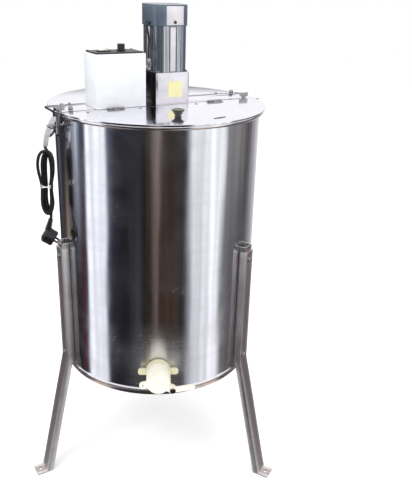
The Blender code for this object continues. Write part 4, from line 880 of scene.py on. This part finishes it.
def cord_centreline():
    lie = CORD_RADIUS + 0.0006
    top = BEAM_TOP
    points = [
        beam_point(-0.112, 0.0596, 0.022),
        beam_point(-0.112, 0.0666, 0.022),
        beam_point(-0.112, 0.0756, 0.020),
        beam_point(-0.110, 0.0936, 0.010),
        beam_point(-0.105, 0.1136, lie + 0.001),
        beam_point(-0.094, 0.1396, lie),
        round_point(-150.0, DRUM_RADIUS - 0.075, top + lie),
        round_point(-151.5, DRUM_RADIUS - 0.035, top + lie),
        round_point(-151.5, DRUM_RADIUS - 0.010, top + lie + 0.001),
        round_point(-151.0, DRUM_RADIUS + 0.012, top + lie + 0.001),
        round_point(-149.5, DRUM_RADIUS + 0.0285, top - 0.010),
        round_point(-147.0, DRUM_RADIUS + 0.030, top - 0.033),
        round_point(-142.0, DRUM_RADIUS + 0.016, top - 0.053),
        round_point(-134.0, WALL_LIE, top - 0.062),
        round_point(-122.0, WALL_LIE, top - 0.065),
        round_point(-108.0, WALL_LIE, top - 0.068),
        round_point(-94.0, WALL_LIE, top - 0.072),
        round_point(-82.0, WALL_LIE + 0.0005, top - 0.076),
        round_point(-73.0, DRUM_RADIUS + 0.012, top - 0.073),
        round_point(-66.0, DRUM_RADIUS + 0.028, top - 0.067),
    ]
    points += hank_centreline()
    end = Vector((HANK.x + 0.004, HANK.y, HANK_LOW - 0.006))
    points.append(Vector((HANK.x + 0.0115, HANK.y + 0.0065, HANK_HIGH - 0.045)))
    points.append(Vector((HANK.x + 0.0080, HANK.y + 0.0065, HANK_HIGH - 0.095)))
    points.append(Vector((HANK.x + 0.0070, HANK.y + 0.0045, HANK_LOW + 0.030)))
    points.append(end)
    return evened(points)


def lay_cord():
    points = cord_centreline()
    line = bpy.data.curves.new("mains_cord", "CURVE")
    line.dimensions = "3D"
    line.bevel_depth = CORD_RADIUS
    line.bevel_resolution = 3
    line.resolution_u = 4
    line.use_fill_caps = True
    spline = line.splines.new("BEZIER")
    spline.bezier_points.add(len(points) - 1)
    for spot, point in zip(spline.bezier_points, points):
        spot.co = point
        spot.handle_left_type = "AUTO"
        spot.handle_right_type = "AUTO"
    line.materials.append(RUBBER)
    cord = bpy.data.objects.new("mains_cord", line)
    bpy.context.scene.collection.objects.link(cord)
    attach(cord, "stand")
    length = sum(s.calc_length(resolution=64) for s in line.splines)
    print("cord length", round(length, 3))
    return cord, points, length


CORD, CORD_POINTS, CORD_LENGTH = lay_cord()


def make_plug():
    """Moulded plug with a ribbed sleeve, two round pins and a grip."""
    foot = HANK_LOW - 0.0003
    out = -0.006
    axis = Vector((0.026, 0.0, -0.016)).normalized()
    face = Vector((0.012, out, foot - 0.055))
    body = turned(
        "plug_body",
        [(0.0, 0.0)] + arc((0.0145, 0.0045), 0.0045, 270.0, 360.0, 4)
        + arc((0.0150, 0.0235), 0.0045, 0.0, 60.0, 3)
        + [(0.0125, 0.0300), (0.0105, 0.0315), (0.0, 0.0315)],
        40,
    )
    body.transform(Matrix.Translation(face) @ (-axis).to_track_quat("Z", "Y").to_matrix().to_4x4())
    meshes = [body]
    start = Vector((0.004, 0.0, foot - 0.004))
    end = Vector((-0.003, out, foot - 0.031))
    sleeve = rod("plug_sleeve", start, end + (end - start) * 0.10, 0.0046, 24, 0.001)
    meshes.append(sleeve)
    for k in range(7):
        spot = start.lerp(end, 0.06 + 0.145 * k)
        run = (end - start).normalized() * 0.0011
        meshes.append(rod("rib", spot - run, spot + run, 0.0060 + 0.0004 * k, 24, 0.0006))
    for mesh in meshes:
        mesh.materials.append(RUBBER)
    for side in (-1, 1):
        base = face - axis * 0.002 + Vector((0.0, side * 0.0095, 0.0))
        collar = rod("collar", base, base + axis * 0.010, 0.0025, 20, 0.0004)
        collar.materials.append(BLACK)
        pin = rod("pin", base + axis * 0.009, base + axis * 0.021, 0.0024, 20, 0.0012)
        pin.materials.append(BRIGHT)
        meshes += [collar, pin]
    whole = joined("mains_plug_body", meshes)
    return piece("mains_plug_body", whole, None, "stand",
                 Matrix.Translation((HANK.x, HANK.y, 0.0)), ("mains_plug",))


PLUG = make_plug()
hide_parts("power_cord", "cord_hank")


def dress(look, *nodes):
    """Gives CAD nodes their finish."""
    for node in nodes:
        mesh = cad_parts[node].data
        mesh.materials.clear()
        mesh.materials.append(look)


def cut_by(mesh, cutter, operation="DIFFERENCE"):
    holder = holder_of(mesh, "cut")
    tool = holder_of(cutter, "cutter")
    step = holder.modifiers.new("cut", "BOOLEAN")
    step.operation = operation
    step.object = tool
    step.solver = "EXACT"
    whole = baked(holder, mesh.name)
    bpy.data.objects.remove(tool, do_unlink=True)
    return smoothed(whole)


# ---------------------------------------------------------------- drum and covers
def drum_wall():
    """Rolled wall with its round rim, the swaged ring near the foot and the outlet's hole."""
    centre = (DRUM_INSIDE + RIM_ROLL, DRUM_TOP - RIM_ROLL)
    under = math.degrees(math.acos((DRUM_RADIUS - centre[0]) / RIM_ROLL))
    ring = DRUM_FOOT + 0.014
    outline = arc(centre, RIM_ROLL, 180.0, -under, 18)
    rounding = 12
    for k in range(rounding + 1):
        swell = 0.5 - 0.5 * math.cos(2 * math.pi * k / rounding)
        outline.append((DRUM_RADIUS + 0.0025 * swell, ring + 0.006 - 0.012 * k / rounding))
    outline += [(DRUM_RADIUS, DRUM_FOOT), (DRUM_INSIDE, DRUM_FOOT)]
    wall = turned("drum_wall", outline, FINE_SIDES, closed=True)
    wall.transform(DRUM)
    hole = rod("outlet_hole", (0.0, 0.03, 0.0), (0.0, -0.03, 0.0), OUTLET_BORE, 48)
    hole.transform(OUTLET)
    return cut_by(wall, hole)


piece("drum_wall", drum_wall(), DRUM_STEEL, "stand", None, ("drum_shell",))


def half_cover(name, side):
    """A half of the round cover, with its down-turned lip, kept on one side of the crossbar."""
    outline = [(0.0, 0.0)]
    outline += arc((LID_RADIUS - 0.0012, -0.0012), 0.0012, 90.0, 0.0, 5)
    outline += [(LID_RADIUS, -LID_LIP), (LID_RADIUS - SHEET, -LID_LIP)]
    outline += [(LID_RADIUS - SHEET, -SHEET), (0.0, -SHEET)]
    form = bmesh.new()
    form.from_mesh(turned(name, outline, FINE_SIDES))
    edge = side * COVER_EDGE
    found = bmesh.ops.bisect_plane(
        form,
        geom=form.verts[:] + form.edges[:] + form.faces[:],
        plane_co=(0.0, edge, 0.0),
        plane_no=(0.0, -side, 0.0),
        clear_outer=True,
    )
    open_edges = [e for e in found["geom_cut"] if isinstance(e, bmesh.types.BMEdge)]
    bmesh.ops.contextual_create(form, geom=open_edges)
    return finished(form, name)


piece("front_half_cover", half_cover("front_half_cover", -1), LID_STEEL, "front_lid",
      BEAM, ("front_lid",))
piece("rear_half_cover", half_cover("rear_half_cover", 1), LID_STEEL, "stand",
      BEAM, ("rear_cover",))


def lid_grip():
    """A flared phenolic knob with a dished crown."""
    outline = [(0.0, 0.0166), (0.008, 0.0168), (0.0118, 0.0176)]
    outline += arc((0.0132, 0.0160), 0.0016, 90.0, -60.0, 6)
    outline += [(0.0105, 0.0095), (0.0080, 0.0060), (0.0070, 0.0030), (0.0085, 0.0010)]
    outline += [(0.0090, GAP), (0.0, GAP)]
    return turned("lid_grip", outline, 48)


piece("lid_grip", lid_grip(), GLOSS_BLACK, "front_lid",
      BEAM @ Matrix.Translation(LID_KNOB_PLACE), ("lid_knob",))
softened("crossbar", 0.0004, LID_STEEL, "stand")
dress(LID_STEEL, "drum_floor")
dress(BEIGE, "shaft_seat")


def lid_catch():
    """Three raised tabs of the catch that holds the front lid shut."""
    middle_turn = math.atan2(-0.2246, 0.0396)
    meshes = []
    for shift, size in ((-0.052, (0.010, 0.004, 0.0012)), (0.0, (0.014, 0.005, 0.0016)),
                        (0.050, (0.010, 0.004, 0.0012))):
        angle = middle_turn + shift
        block = rounded_block("tab", size, (0.0, 0.0, size[2] / 2 + 0.0001), 0.0005, 2)
        block.transform(
            Matrix.Translation((CATCH_REACH * math.cos(angle), CATCH_REACH * math.sin(angle), 0.0))
            @ Matrix.Rotation(angle + math.pi / 2, 4, "Z")
        )
        block.materials.append(DARK_STEEL)
        meshes.append(block)
    return joined("lid_catch", meshes)


piece("lid_catch", lid_catch(), None, "front_lid", BEAM)

# ---------------------------------------------------------------- legs
BOLT_HEIGHTS = (LEG_TOP - 0.020, corner("leg_rear", 0).z + 0.352)


def leg_steel(side):
    """Rolled sheet with a brownish painted reflection down the middle of the channel."""
    made, sheet, shader, where = new_material("leg_steel_" + side)
    about = turned_coordinates(sheet, where, math.radians(LEG_TURNS[side]))
    apart = sheet.add("ShaderNodeSeparateXYZ", {0: about})
    lengthways = sheet.add("ShaderNodeCombineXYZ", {0: apart.outputs[2], 1: apart.outputs[0]})
    lines = place_group(sheet, ROLLED_LINES, lengthways.outputs[0], Fineness=420.0)
    marks = place_group(sheet, HANDLING_MARKS, where, Size=18.0)
    shader.inputs["Metallic"].default_value = 1.0
    off = sheet.maths("ABSOLUTE", apart.outputs[0])
    # Painted reflection: brownish colour down the middle of the channel.
    channel = sheet.spread(off, 0.009, 0.0135, 0.85, 0.0)
    steel = blended(sheet, lines.outputs["Broad"], (0.90, 0.88, 0.87), (0.80, 0.78, 0.77))
    with_painted_reflection = blended(sheet, channel, steel, (0.52, 0.45, 0.41))
    worn = blended(sheet, sheet.times(marks.outputs["Smears"], 0.4), with_painted_reflection,
                   (0.52, 0.48, 0.46))
    sheet.join(worn, shader.inputs["Base Color"])
    base = sheet.spread(lines.outputs["Lines"], 0.3, 0.7, 0.34, 0.48)
    sheet.join(base, shader.inputs["Roughness"])
    bumped(sheet, shader, lines.outputs["Lines"], 0.12, 0.0004)
    return made


for side in LEG_TURNS:
    look = leg_steel(side)
    softened("leg_" + side, 0.0006, look, "stand")
    dress(look, "leg_bracket_" + side)
    spots = [(0.0, -(LEG_WEB + 0.0003), height) for height in BOLT_HEIGHTS]
    fasteners("leg_bolts_" + side, spots, (0.0, -1.0, 0.0), 0.0058, 0.0050, "stand", sides=6,
              washer=0.0075, recess=0.0022, place=leg_line(side))

# ---------------------------------------------------------------- honey gate
softened("outlet_nut", 0.0012, BEIGE, "outlet_nut")
softened("gate_body", 0.0009, IVORY, "stand")
softened("gate_blade", 0.0012, IVORY, "gate_blade", 3)
softened("gate_pivot_screw", 0.0005, BRIGHT, "stand")
dress(DRUM_STEEL, "outlet_socket")

# ---------------------------------------------------------------- gearmotor
MOTOR = BEAM @ Matrix.Translation((MOTOR_ALONG, 0.0, 0.0))
softened("gearbox_housing", 0.0014, gearbox_casting(), "stand", 3)
softened("motor_cap", 0.0040, CAP_PAINT, "stand", 4)
dress(DARK_STEEL, "output_shaft", "motor_rotor")
dress(BLACK, "cooling_fan")


def fin_outline():
    """The motor's extrusion: a rounded square, grooved beside each corner."""
    half, round_off, deep = 0.0427, 0.0200, 0.0030
    straight = half - round_off
    edges = [(-straight, 0.0)]
    for side in (-1, 1):
        starts = [side * (0.0100 + 0.0034 * k) for k in range(4)]
        for start in sorted(starts):
            edges += [(start - 0.0009, 0.0), (start - 0.0008, deep)]
            edges += [(start + 0.0008, deep), (start + 0.0009, 0.0)]
    edges.sort()
    points = []
    for quarter in range(4):
        turn = Matrix.Rotation(quarter * math.pi / 2, 3, "Z")
        for along, sunk in edges:
            points.append((turn @ Vector((along, -half + sunk, 0.0)), sunk == 0.0))
        for k in range(13):
            angle = -math.pi / 2 + math.pi / 2 * k / 12
            spot = (straight + round_off * math.cos(angle), -straight + round_off * math.sin(angle), 0.0)
            points.append((turn @ Vector(spot), False))
    return points


def motor_extrusion():
    low, high = MOTOR_FOOT, MOTOR_CROWN
    ring = fin_outline()
    form = bmesh.new()
    foot = [form.verts.new((p.x, p.y, low)) for p, _ in ring]
    top = [form.verts.new((p.x, p.y, high)) for p, _ in ring]
    count = len(ring)
    for k in range(count):
        after = (k + 1) % count
        face = form.faces.new((foot[k], foot[after], top[after], top[k]))
        # Crest faces between the grooves get the bright finish, a painted highlight.
        crest = ring[k][1] and ring[after][1] and (ring[k][0] - ring[after][0]).length < 0.004
        face.material_index = 1 if crest else 0
    form.faces.new(top)
    form.faces.new(list(reversed(foot)))
    bmesh.ops.recalc_face_normals(form, faces=form.faces)
    mesh = to_mesh(form, "motor_extrusion")
    mesh.materials.append(FIN_METAL)
    mesh.materials.append(FIN_PAINTED_HIGHLIGHT)
    smoothed(mesh, 20.0)
    panels = [mesh]
    for quarter in range(4):
        panel = rounded_block("panel", (0.0135, 0.0012, high - low - 0.004),
                              (0.0, -0.0428, (high + low) / 2), 0.0005, 2)
        panel.transform(Matrix.Rotation(quarter * math.pi / 2, 4, "Z"))
        panel.materials.append(PLATE_SILVER)
        panels.append(panel)
    return joined("motor_extrusion", panels)


piece("motor_extrusion", motor_extrusion(), None, "stand", MOTOR, ("motor_body",))
piece("rating_plate_blank", rounded_block("rating_plate_blank", (0.037, 0.0005, 0.037),
      (0.006, -0.04535, 0.036), 0.0002, 1), LABEL, "stand", MOTOR)
piece("cap_plate", rounded_block("cap_plate", (0.0440, 0.0007, 0.0415), (0.003, -0.0464, 0.2030),
      0.0003, 2), PLATE_SILVER, "stand", MOTOR)
fasteners("gearbox_screws", [(x, y, 0.0755) for x in (-GEARBOX_SCREW, GEARBOX_SCREW)
                             for y in (-GEARBOX_SCREW, GEARBOX_SCREW)],
          (0.0, 0.0, 1.0), 0.0044, 0.0040, "stand", recess=0.0022, place=MOTOR)
fasteners("cap_screws_front", [(0.003, -0.0468, 0.1885)], (0.0, -1.0, 0.0),
          0.0036, 0.0016, "stand", recess=0.0016, look=BLACK, place=MOTOR)
fasteners("cap_screws_left", [(-0.0461, 0.0, 0.1870)], (-1.0, 0.0, 0.0),
          0.0036, 0.0016, "stand", recess=0.0016, look=BLACK, place=MOTOR)
dress(RUBBER, "motor_lead")
softened("lead_connector", 0.0005, BRIGHT, "stand")
piece("lead_connector_knurl", grown("lead_connector_knurl", RIB_RING, Count=26, Reach=0.0060,
      Radius=0.0005, Height=0.012, Material=BRIGHT), None, "stand",
      BEAM @ Matrix.Translation((-0.0395, -0.030, 0.095)))

# ---------------------------------------------------------------- control box
softened("control_box", 0.0014, BOX_PAINT, "stand", 3)
softened("box_panel", 0.0008, BLACK, "stand")
softened("switch_bezel", 0.0006, BLACK, "stand")
softened("power_switch", 0.0008, ROCKER_GREY, "power_switch", 3)
dress(BOARD, "control_board")
dress(RUBBER, "cord_gland")
KNOB = BEAM @ Matrix.Translation(KNOB_PLACE)


def control_knob():
    """A skirted knob with a grip of upright ribs and a pointer line."""
    outline = [(0.0, 0.0150)] + arc((0.0072, 0.0140), 0.0010, 90.0, 0.0, 4)
    outline += [(0.0084, 0.0030), (0.0106, 0.0022)] + arc((0.0104, 0.0014), 0.0006, 60.0, -60.0, 4)
    outline += [(0.0104, 0.0005), (0.0, 0.0005)]
    body = turned("knob", outline, 48)
    body.materials.append(BLACK)
    ribs = grown("knob_ribs", RIB_RING, Count=30, Reach=0.0080, Radius=0.00055, Height=0.0108,
                 Material=BLACK)
    ribs.transform(Matrix.Translation((0.0, 0.0, 0.0086)))
    line = rounded_block("pointer", (0.0007, 0.0062, 0.0003), (0.0, 0.0040, 0.01505), 0.0001, 1)
    line.materials.append(WHITE_TIE)
    return joined("control_knob", [body, ribs, line])


piece("control_knob", control_knob(), None, "speed_knob", KNOB, ("speed_knob",))
fasteners("panel_screws", [(x, y, 0.1247) for x in (-0.169, -0.059) for y in (-0.034, 0.022)],
          (0.0, 0.0, 1.0), 0.0024, 0.0011, "stand", recess=0.0012, look=DARK_STEEL, place=BEAM)

# ---------------------------------------------------------------- fixings on the crossbar
for node, body in (("rim_hook", "stand"), ("clamp_stud", "stand"), ("beam_bolt_left", "stand"),
                   ("beam_bolt_right", "stand"), ("wing_nut_left", "wing_nut_left"),
                   ("wing_nut_right", "wing_nut_right"), ("side_screw_left", "side_screw_left"),
                   ("side_screw_right", "side_screw_right"), ("hinge_left", "stand"),
                   ("hinge_right", "stand"), ("lid_leaf_left", "front_lid"),
                   ("lid_leaf_right", "front_lid")):
    softened(node, 0.0004, BRIGHT, body)
fasteners("rear_beam_bolt", [(-0.234, 0.030, WASHER_LIFT)], (0.0, 0.0, 1.0), 0.0052, 0.0060, "stand",
          sides=6, washer=0.0085, recess=0.0026, place=BEAM)
fasteners("cover_screws", [(x, 0.0590, WASHER_LIFT) for x in COVER_SCREWS],
          (0.0, 0.0, 1.0), 0.0030, 0.0014, "stand", washer=0.0036, recess=0.0014, place=BEAM)
fasteners("front_cover_rivets", [(x, -0.0590, WASHER_LIFT) for x in COVER_SCREWS],
          (0.0, 0.0, 1.0), 0.0030, 0.0012, "front_lid", washer=0.0034, recess=0.0012, place=BEAM)

# ---------------------------------------------------------------- cord's fittings
dress(BLACK, "cord_clip_rear", "cord_clip_side")


def strap_ribbon():
    """A flat translucent strap from the crossbar's end tab to the hank's top, with one twist."""
    start = beam_point(-0.2692, -0.020, -0.012)
    end = Vector((HANK.x + 0.002, HANK.y, HANK_HIGH + 0.001))
    steps = 18
    form = bmesh.new()
    rows = []
    for k in range(steps + 1):
        share = k / steps
        spot = start.lerp(end, share)
        spot += Vector((-0.004 * math.sin(math.pi * share), -0.003 * math.sin(math.pi * share), 0.0))
        turn = math.radians(-25 + 60 * share)
        across = Vector((math.cos(turn), math.sin(turn), 0.0)) * (0.0075 - 0.002 * share)
        thick = Vector((-math.sin(turn), math.cos(turn), 0.0)) * 0.0004
        rows.append([form.verts.new(spot + a + b) for a, b in
                     ((across, thick), (-across, thick), (-across, -thick), (across, -thick))])
    for first, second in zip(rows, rows[1:]):
        skin(form, first, second)
    form.faces.new(rows[0])
    form.faces.new(list(reversed(rows[-1])))
    return finished(form, "strap_ribbon")


piece("strap_ribbon", strap_ribbon(), STRAP, "stand", None, ("hank_strap",))


def hank_tie():
    """A thin white tie that crosses over itself at the waist of the hank."""
    rounds = []
    for lean in (-14, 12):
        points = []
        for k in range(48):
            angle = 2 * math.pi * k / 48
            points.append((0.0146 * math.cos(angle), 0.0122 * math.sin(angle)))
        form = bmesh.new()
        rings = []
        for scale, height in ((1.0, -0.0010), (1.05, -0.0005), (1.05, 0.0005), (1.0, 0.0010),
                              (0.95, 0.0)):
            rings.append([form.verts.new((x * scale, y * scale, height)) for x, y in points])
        for first, second in zip(rings, rings[1:] + rings[:1]):
            skin(form, first, second)
        bmesh.ops.recalc_face_normals(form, faces=form.faces)
        ring = to_mesh(form, "round")
        ring.transform(Matrix.Rotation(math.radians(lean), 4, "Y"))
        rounds.append(ring)
    return joined("hank_tie", rounds)


TIE = piece("hank_tie", hank_tie(), WHITE_TIE, "stand",
            Matrix.Translation((HANK.x, HANK.y, HANK_HIGH - WAIST_DROP)))

# ---------------------------------------------------------------- reel
dress(LID_STEEL, "reel_shaft")
dress(REEL_STEEL, "shaft_coupling", "reel_spider_lower", "reel_spider_upper")
for number in range(1, 5):
    node = f"frame_basket_{number}"
    low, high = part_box(node)
    size = high - low
    dress(REEL_STEEL, node)
    wide = size.x > size.y
    run = size.x if wide else size.y
    lie = Vector((1.0, 0.0, 0.0)) if wide else Vector((0.0, 1.0, 0.0))
    deep = Vector((0.0, 1.0, 0.0)) if wide else Vector((1.0, 0.0, 0.0))
    shift = Vector((middle(node).x, middle(node).y, low.z))
    screens = []
    for side in (-1, 1):
        base = shift + deep * (side * ((size.y if wide else size.x) / 2 - 0.0022))
        gap = run / (SCREEN_UPRIGHTS + 1)
        rise = size.z / (SCREEN_RUNGS + 1)
        screens.append(grown("uprights", ROD_ROW, Count=SCREEN_UPRIGHTS,
                             Start=tuple(base - lie * (run / 2 - gap)), Step=tuple(lie * gap),
                             Run=(0.0, 0.0, size.z), Radius=SCREEN_WIRE, Material=REEL_STEEL))
        screens.append(grown("rungs", ROD_ROW, Count=SCREEN_RUNGS,
                             Start=tuple(base - lie * (run / 2) + Vector((0.0, 0.0, rise))),
                             Step=(0.0, 0.0, rise), Run=tuple(lie * run), Radius=SCREEN_WIRE,
                             Material=REEL_STEEL))
    piece(f"basket_screen_{number}", joined(f"basket_screen_{number}", screens), None, "reel")

# ---------------------------------------------------------------- studio
def pale_floor():
    bpy.ops.mesh.primitive_circle_add(vertices=96, radius=9.0, fill_type="NGON")
    floor = bpy.context.object
    floor.name = "studio_floor"
    floor.location = (AXIS.x, AXIS.y, corner("leg_rear", 0).z - 0.0002)
    made = bpy.data.materials.new("studio_floor")
    made.use_nodes = True
    sheet = Sheet(made.node_tree)
    shader = made.node_tree.nodes["Principled BSDF"]
    shader.inputs["Base Color"].default_value = (0.93, 0.93, 0.93, 1.0)
    shader.inputs["Roughness"].default_value = 0.9
    shader.inputs["Specular IOR Level"].default_value = 0.1
    rays = sheet.add("ShaderNodeLightPath")
    glow = sheet.add("ShaderNodeEmission", {"Strength": 0.30})
    lit = sheet.add("ShaderNodeAddShader", {0: shader.outputs[0], 1: glow.outputs[0]})
    clear = sheet.add("ShaderNodeBsdfTransparent")
    choice = sheet.add(
        "ShaderNodeMixShader",
        {0: rays.outputs["Is Glossy Ray"], 1: lit.outputs[0], 2: clear.outputs[0]},
    )
    sheet.join(choice.outputs[0], made.node_tree.nodes["Material Output"].inputs["Surface"])
    floor.data.materials.append(made)
    return floor


# (turn round the room in degrees, shade) seen by the wall's top, middle and foot
HIGH_BANDS = (
    (-180, (0.34, 0.34, 0.37)), (-166, (0.14, 0.14, 0.16)), (-150, (0.06, 0.06, 0.07)),
    (-141, (0.22, 0.22, 0.25)), (-132, (0.04, 0.04, 0.05)), (-118, (0.05, 0.05, 0.06)),
    (-113, (0.50, 0.53, 0.60)), (-108, (0.08, 0.08, 0.11)), (-98, (0.62, 0.66, 0.74)),
    (-90, (0.10, 0.11, 0.15)), (-84, (0.16, 0.18, 0.24)), (-81, (0.93, 0.94, 0.98)),
    (-57, (0.90, 0.91, 0.95)), (-54, (0.16, 0.18, 0.24)), (-44, (0.05, 0.05, 0.07)),
    (-8, (0.025, 0.025, 0.03)), (-4, (0.17, 0.14, 0.13)), (2, (0.42, 0.37, 0.34)),
    (9, (0.14, 0.11, 0.10)), (13, (0.05, 0.04, 0.04)), (27, (0.06, 0.05, 0.05)),
    (35, (0.10, 0.11, 0.14)), (43, (0.95, 0.96, 0.98)), (82, (0.92, 0.93, 0.95)),
    (87, (0.30, 0.29, 0.30)), (112, (0.36, 0.34, 0.34)), (124, (0.14, 0.13, 0.13)),
    (142, (0.42, 0.42, 0.44)), (160, (0.90, 0.90, 0.93)), (180, (0.34, 0.34, 0.37)),
)
MIDDLE_BANDS = (
    (-180, (0.30, 0.30, 0.33)), (-160, (0.06, 0.06, 0.07)), (-136, (0.10, 0.10, 0.12)),
    (-128, (0.10, 0.08, 0.07)), (-121, (0.46, 0.38, 0.30)), (-115, (0.06, 0.05, 0.05)),
    (-103, (0.02, 0.02, 0.025)), (-97, (0.04, 0.04, 0.05)), (-94, (0.17, 0.04, 0.045)),
    (-90, (0.10, 0.04, 0.05)), (-86, (0.12, 0.13, 0.18)), (-82, (0.92, 0.93, 0.98)),
    (-58, (0.80, 0.82, 0.88)), (-54, (0.05, 0.05, 0.07)), (-32, (0.022, 0.024, 0.03)),
    (-20, (0.10, 0.10, 0.10)), (-12, (0.03, 0.03, 0.03)), (-6, (0.02, 0.02, 0.02)),
    (-2, (0.16, 0.12, 0.11)), (3, (0.26, 0.21, 0.19)), (7, (0.05, 0.04, 0.04)),
    (14, (0.13, 0.085, 0.06)), (26, (0.09, 0.065, 0.05)), (36, (0.06, 0.065, 0.08)),
    (45, (0.88, 0.89, 0.93)), (78, (0.84, 0.85, 0.89)), (85, (0.20, 0.20, 0.21)),
    (122, (0.11, 0.11, 0.12)), (142, (0.36, 0.36, 0.38)), (160, (0.88, 0.88, 0.90)),
    (180, (0.30, 0.30, 0.33)),
)
FOOT_BANDS = (
    (-180, (0.24, 0.24, 0.26)), (-140, (0.30, 0.27, 0.26)), (-126, (0.10, 0.09, 0.09)),
    (-104, (0.30, 0.28, 0.27)), (-95, (0.16, 0.16, 0.18)), (-84, (0.56, 0.44, 0.35)),
    (-68, (0.62, 0.50, 0.41)), (-60, (0.34, 0.34, 0.37)), (-50, (0.09, 0.09, 0.11)),
    (-14, (0.05, 0.05, 0.06)), (-2, (0.13, 0.10, 0.085)), (5, (0.08, 0.065, 0.06)),
    (34, (0.07, 0.075, 0.09)), (46, (0.46, 0.46, 0.49)), (58, (0.80, 0.80, 0.82)),
    (64, (0.66, 0.54, 0.43)), (88, (0.60, 0.48, 0.38)), (94, (0.16, 0.15, 0.15)),
    (130, (0.26, 0.25, 0.25)), (180, (0.24, 0.24, 0.26)),
)


def band_ramp(sheet, share, bands):
    ramp = sheet.add("ShaderNodeValToRGB")
    stops = ramp.color_ramp.elements
    while len(stops) < len(bands):
        stops.new(0.5)
    for stop, (turn, colour) in zip(stops, bands):
        stop.position = turn / 360 + 0.5
        stop.color = (*colour, 1.0)
    sheet.join(share, ramp.inputs[0])
    return ramp.outputs[0]


def studio_world():
    """White behind, soft light all round, and a banded room for polished metal to mirror."""
    world = bpy.data.worlds.new("studio_world")
    bpy.context.scene.world = world
    world.use_nodes = True
    sheet = Sheet(world.node_tree)
    for node in list(world.node_tree.nodes):
        world.node_tree.nodes.remove(node)
    aim = sheet.add("ShaderNodeTexCoord")
    apart = sheet.add("ShaderNodeSeparateXYZ", {0: aim.outputs["Generated"]})
    away = sheet.times(apart.outputs[1], -1.0)
    angle = sheet.maths("ARCTAN2", apart.outputs[0], away)
    share = sheet.plus(sheet.maths("DIVIDE", angle, 2 * math.pi), 0.5)
    streaks = sheet.add("ShaderNodeTexNoise", {"Scale": 9.0, "Detail": 4.0}, noise_dimensions="2D")
    strip = sheet.add(
        "ShaderNodeCombineXYZ",
        {0: angle, 1: sheet.times(apart.outputs[2], 0.12)},
    )
    sheet.join(strip.outputs[0], streaks.inputs["Vector"])
    sway = sheet.times(sheet.maths("SUBTRACT", streaks.outputs[0], 0.5), 0.016)
    swayed = sheet.plus(share, sway)
    high = band_ramp(sheet, swayed, HIGH_BANDS)
    middle_band = band_ramp(sheet, swayed, MIDDLE_BANDS)
    foot = band_ramp(sheet, swayed, FOOT_BANDS)
    level = apart.outputs[2]
    upper = blended(sheet, sheet.spread(level, -0.34, -0.24, 0.0, 1.0), middle_band, high)
    whole = blended(sheet, sheet.spread(level, -0.56, -0.50, 0.0, 1.0), foot, upper)
    veil = sheet.spread(streaks.outputs[0], 0.3, 0.7, 0.72, 1.22)
    shaded = sheet.add(
        "ShaderNodeMix",
        {0: 1.0, 6: whole, 7: veil},
        data_type="RGBA", blend_type="MULTIPLY",
    )
    overhead = sheet.spread(level, 0.0, 0.12, 0.0, 1.0)
    deepened = sheet.add("ShaderNodeGamma", {"Gamma": 1.38, "Color": shaded.outputs[2]})
    room = blended(sheet, overhead, deepened.outputs[0], (0.86, 0.85, 0.89))
    mirrored = sheet.add("ShaderNodeBackground", {"Color": room, "Strength": 1.18})
    plain = sheet.add("ShaderNodeBackground", {"Color": (1.0, 1.0, 1.0, 1.0), "Strength": 0.75})
    behind = sheet.add("ShaderNodeBackground", {"Color": (1.0, 1.0, 1.0, 1.0)})
    rays = sheet.add("ShaderNodeLightPath")
    first = sheet.add(
        "ShaderNodeMixShader",
        {0: rays.outputs["Is Glossy Ray"], 1: plain.outputs[0], 2: mirrored.outputs[0]},
    )
    second = sheet.add(
        "ShaderNodeMixShader",
        {0: rays.outputs["Is Camera Ray"], 1: first.outputs[0], 2: behind.outputs[0]},
    )
    sheet.add("ShaderNodeOutputWorld", {"Surface": second.outputs[0]})


def soft_light(name, place, size, power):
    lamp = bpy.data.lights.new(name, "AREA")
    lamp.size = size
    lamp.energy = power
    made = bpy.data.objects.new(name, lamp)
    bpy.context.scene.collection.objects.link(made)
    made.location = place
    aim = Vector((AXIS.x, AXIS.y, 0.8)) - Vector(place)
    made.rotation_euler = aim.to_track_quat("-Z", "Y").to_euler()
    made.visible_glossy = False


pale_floor()
studio_world()
soft_light("key_light", (-1.4, -2.2, 2.9), 1.6, 55.0)
soft_light("fill_light", (2.2, -1.6, 1.8), 1.8, 22.0)
soft_light("top_light", (0.2, 0.6, 3.2), 2.0, 30.0)
bpy.context.scene.view_settings.view_transform = "Standard"
